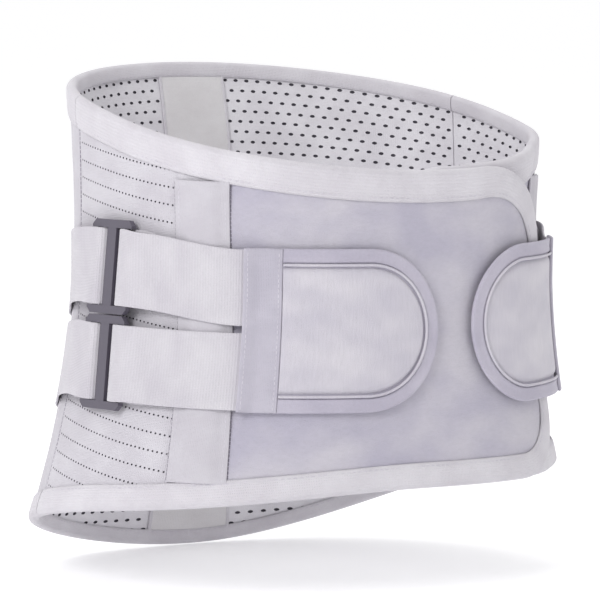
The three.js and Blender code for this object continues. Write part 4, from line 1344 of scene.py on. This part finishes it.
def make_pad(side):
    """The padded body of a tab, crowned between its sewn edges."""
    low, high = tab_layer(side)
    half_height = TAB_HALF_HEIGHT - PAD_INSET
    x, y = tab_grid(half_height, BAND_LENGTH + ROOT_GAP, 2.4)
    turn_at = BAND_LENGTH + TAB_STRAIGHT
    tip = np.hypot(np.maximum(0, x - turn_at), y)
    inside = np.minimum(half_height - tip, x - BAND_LENGTH + 2)
    full = quarter_round(np.clip(inside, 0, None), 2.5)
    piece = Piece(f"tab_pad_cloth_{side.name}", TAB_CLOTH)
    front = mix(low + 1.0, high - 0.2, full)
    tab_slab(piece, side, x, y, front, np.full(x.shape, low))
    made = piece.build(60)
    points = np.array([v.co for v in made.data.vertices], float) / MM
    outward = body_offset(points)
    inflate(made, outward < low + 1.3, PAD_SWELL)
    rounding = made.modifiers.new("rounding", "SUBSURF")
    rounding.levels = rounding.render_levels = 1
    made = lay(made, f"tab_{side.name}", "tab_body", f"tab_pad_{side.name}")


def body_offset(points):
    """Distance out from the body surface of points close to it."""
    angle = np.degrees(np.arctan2(points[:, 1] / HALF_DEPTH, points[:, 0] / HALF_WIDTH))
    for _ in range(4):
        surface = body_point(angle, points[:, 2])
        along = body_point(angle + 0.5, points[:, 2]) - body_point(angle - 0.5, points[:, 2])
        size = np.linalg.norm(along, axis=1)
        angle = angle + ((points - surface) * along).sum(1) / size**2
    return ((points - body_point(angle, points[:, 2])) * body_normal(angle, points[:, 2])).sum(1)


def make_tab_hooks(side):
    piece = Piece(f"tab_hook_field_{side.name}", HOOK)
    half_height = TAB_HALF_HEIGHT - HOOK_MARGIN
    low, _ = tab_layer(side)
    from_x = BAND_LENGTH + 1 if side is RIGHT else BAND_LENGTH + TAB_STRAIGHT
    x, y = tab_grid(half_height, from_x, 4)
    tab_slab(piece, side, x, y, np.full(x.shape, low - 0.4), np.full(x.shape, HOOKS[0]))
    lay(piece.build(), f"tab_{side.name}", "hooks", f"tab_hook_patch_{side.name}")


# ------------------------------------------------------------ stage, light and camera


def aim(made, target):
    direction = Vector(target) - made.location
    made.rotation_mode = "QUATERNION"
    made.rotation_quaternion = direction.to_track_quat("-Z", "Y")


def area_light(name, location, target, size, power, colour=(1, 1, 1)):
    data = bpy.data.lights.new(name, "AREA")
    data.shape = "DISK"
    data.size = size
    data.energy = power
    data.color = colour
    made = bpy.data.objects.new(name, data)
    made.location = location
    bpy.context.scene.collection.objects.link(made)
    aim(made, target)


def studio_world():
    """A white studio, dimmer on the side that the belt's front faces."""
    world = bpy.data.worlds.new("studio")
    world.use_nodes = True
    tree = world.node_tree
    direction = tree.nodes.new("ShaderNodeTexCoord").outputs["Generated"]
    away = tree.nodes.new("ShaderNodeVectorMath")
    away.operation = "DOT_PRODUCT"
    away.inputs[1].default_value = (0.585, 0.811, 0)
    tree.links.new(direction, away.inputs[0])
    level = tree.nodes.new("ShaderNodeMapRange")
    level.inputs["From Min"].default_value = -0.6
    level.inputs["From Max"].default_value = 0.5
    level.inputs["To Min"].default_value = FRONT_LIGHT
    level.inputs["To Max"].default_value = 1.0
    tree.links.new(away.outputs["Value"], level.inputs["Value"])
    tree.links.new(level.outputs["Result"], tree.nodes["Background"].inputs["Strength"])
    tree.nodes["Background"].inputs["Color"].default_value = (1, 1, 1, 1)
    return world


def make_stage():
    scene = bpy.context.scene
    scene.view_settings.view_transform = "Standard"
    scene.view_settings.look = "None"
    floor_z = float(cad_box[0][2]) - FLOOR_GAP
    mesh = bpy.data.meshes.new("floor")
    signs = ((-1, -1), (1, -1), (1, 1), (-1, 1))
    corners = [(x * FLOOR_REACH, y * FLOOR_REACH, floor_z) for x, y in signs]
    mesh.from_pydata(corners, [], [(0, 1, 2, 3)])
    floor = bpy.data.objects.new("floor", mesh)
    scene.collection.objects.link(floor)
    pale = bpy.data.materials.new("pale_floor")
    pale.use_nodes = True
    shader = pale.node_tree.nodes["Principled BSDF"]
    shader.inputs["Base Color"].default_value = (0.93, 0.93, 0.94, 1)
    shader.inputs["Roughness"].default_value = 0.9
    shader.inputs["Emission Color"].default_value = (1, 1, 1, 1)
    shader.inputs["Emission Strength"].default_value = FLOOR_GLOW
    mesh.materials.append(pale)
    scene.world = studio_world()
    area_light("key", (-2.6, -1.2, 1.6), (0, 0, 0), 1.2, 42)
    area_light("top", (0.1, 0.3, 2.6), (0, 0, 0), 1.6, 12)


def make_camera():
    azimuth, elevation = math.radians(CAMERA_AZIMUTH), math.radians(CAMERA_ELEVATION)
    roll = math.radians(CAMERA_ROLL)
    back = Vector((
        -math.sin(azimuth) * math.cos(elevation),
        -math.cos(azimuth) * math.cos(elevation),
        math.sin(elevation),
    ))
    level = Vector((math.cos(azimuth), -math.sin(azimuth), 0))
    up = back.cross(level)
    right = level * math.cos(roll) + up * math.sin(roll)
    data = bpy.data.cameras.new("camera")
    data.lens = CAMERA_LENS
    data.sensor_width = 36
    data.shift_x, data.shift_y = CAMERA_SHIFT
    data.clip_start, data.clip_end = 0.1, 200
    camera = bpy.data.objects.new("camera", data)
    bpy.context.scene.collection.objects.link(camera)
    turned = Matrix((right, back.cross(right), back)).transposed().to_4x4()
    camera.matrix_world = Matrix.Translation(back * CAMERA_DISTANCE) @ turned
    bpy.context.scene.camera = camera


# ------------------------------------------------------------ the belt

make_camera()
make_stage()
make_back_panels()
make_back_linings()
make_centre_strip()
make_rear_channels()
make_back_bindings()
make_flap(RIGHT, OUTER_FLAP_END, no_drop)
make_flap(LEFT, INNER_FLAP_END, inner_drop)
make_flap_hooks()
for side in (RIGHT, LEFT):
    for level, height in (("upper", RING_SPACING / 2), ("lower", -RING_SPACING / 2)):
        finish_ring(side, level)
        make_rear_strap(side, level, height)
        make_pull_strap(side, level, height)
    make_band(side)
    make_rim(side)
    make_pad(side)
    make_tab_hooks(side)

for name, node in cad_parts.items():
    if "stay" in name and "channel" not in name:
        node.data.materials.clear()
        node.data.materials.append(STEEL)
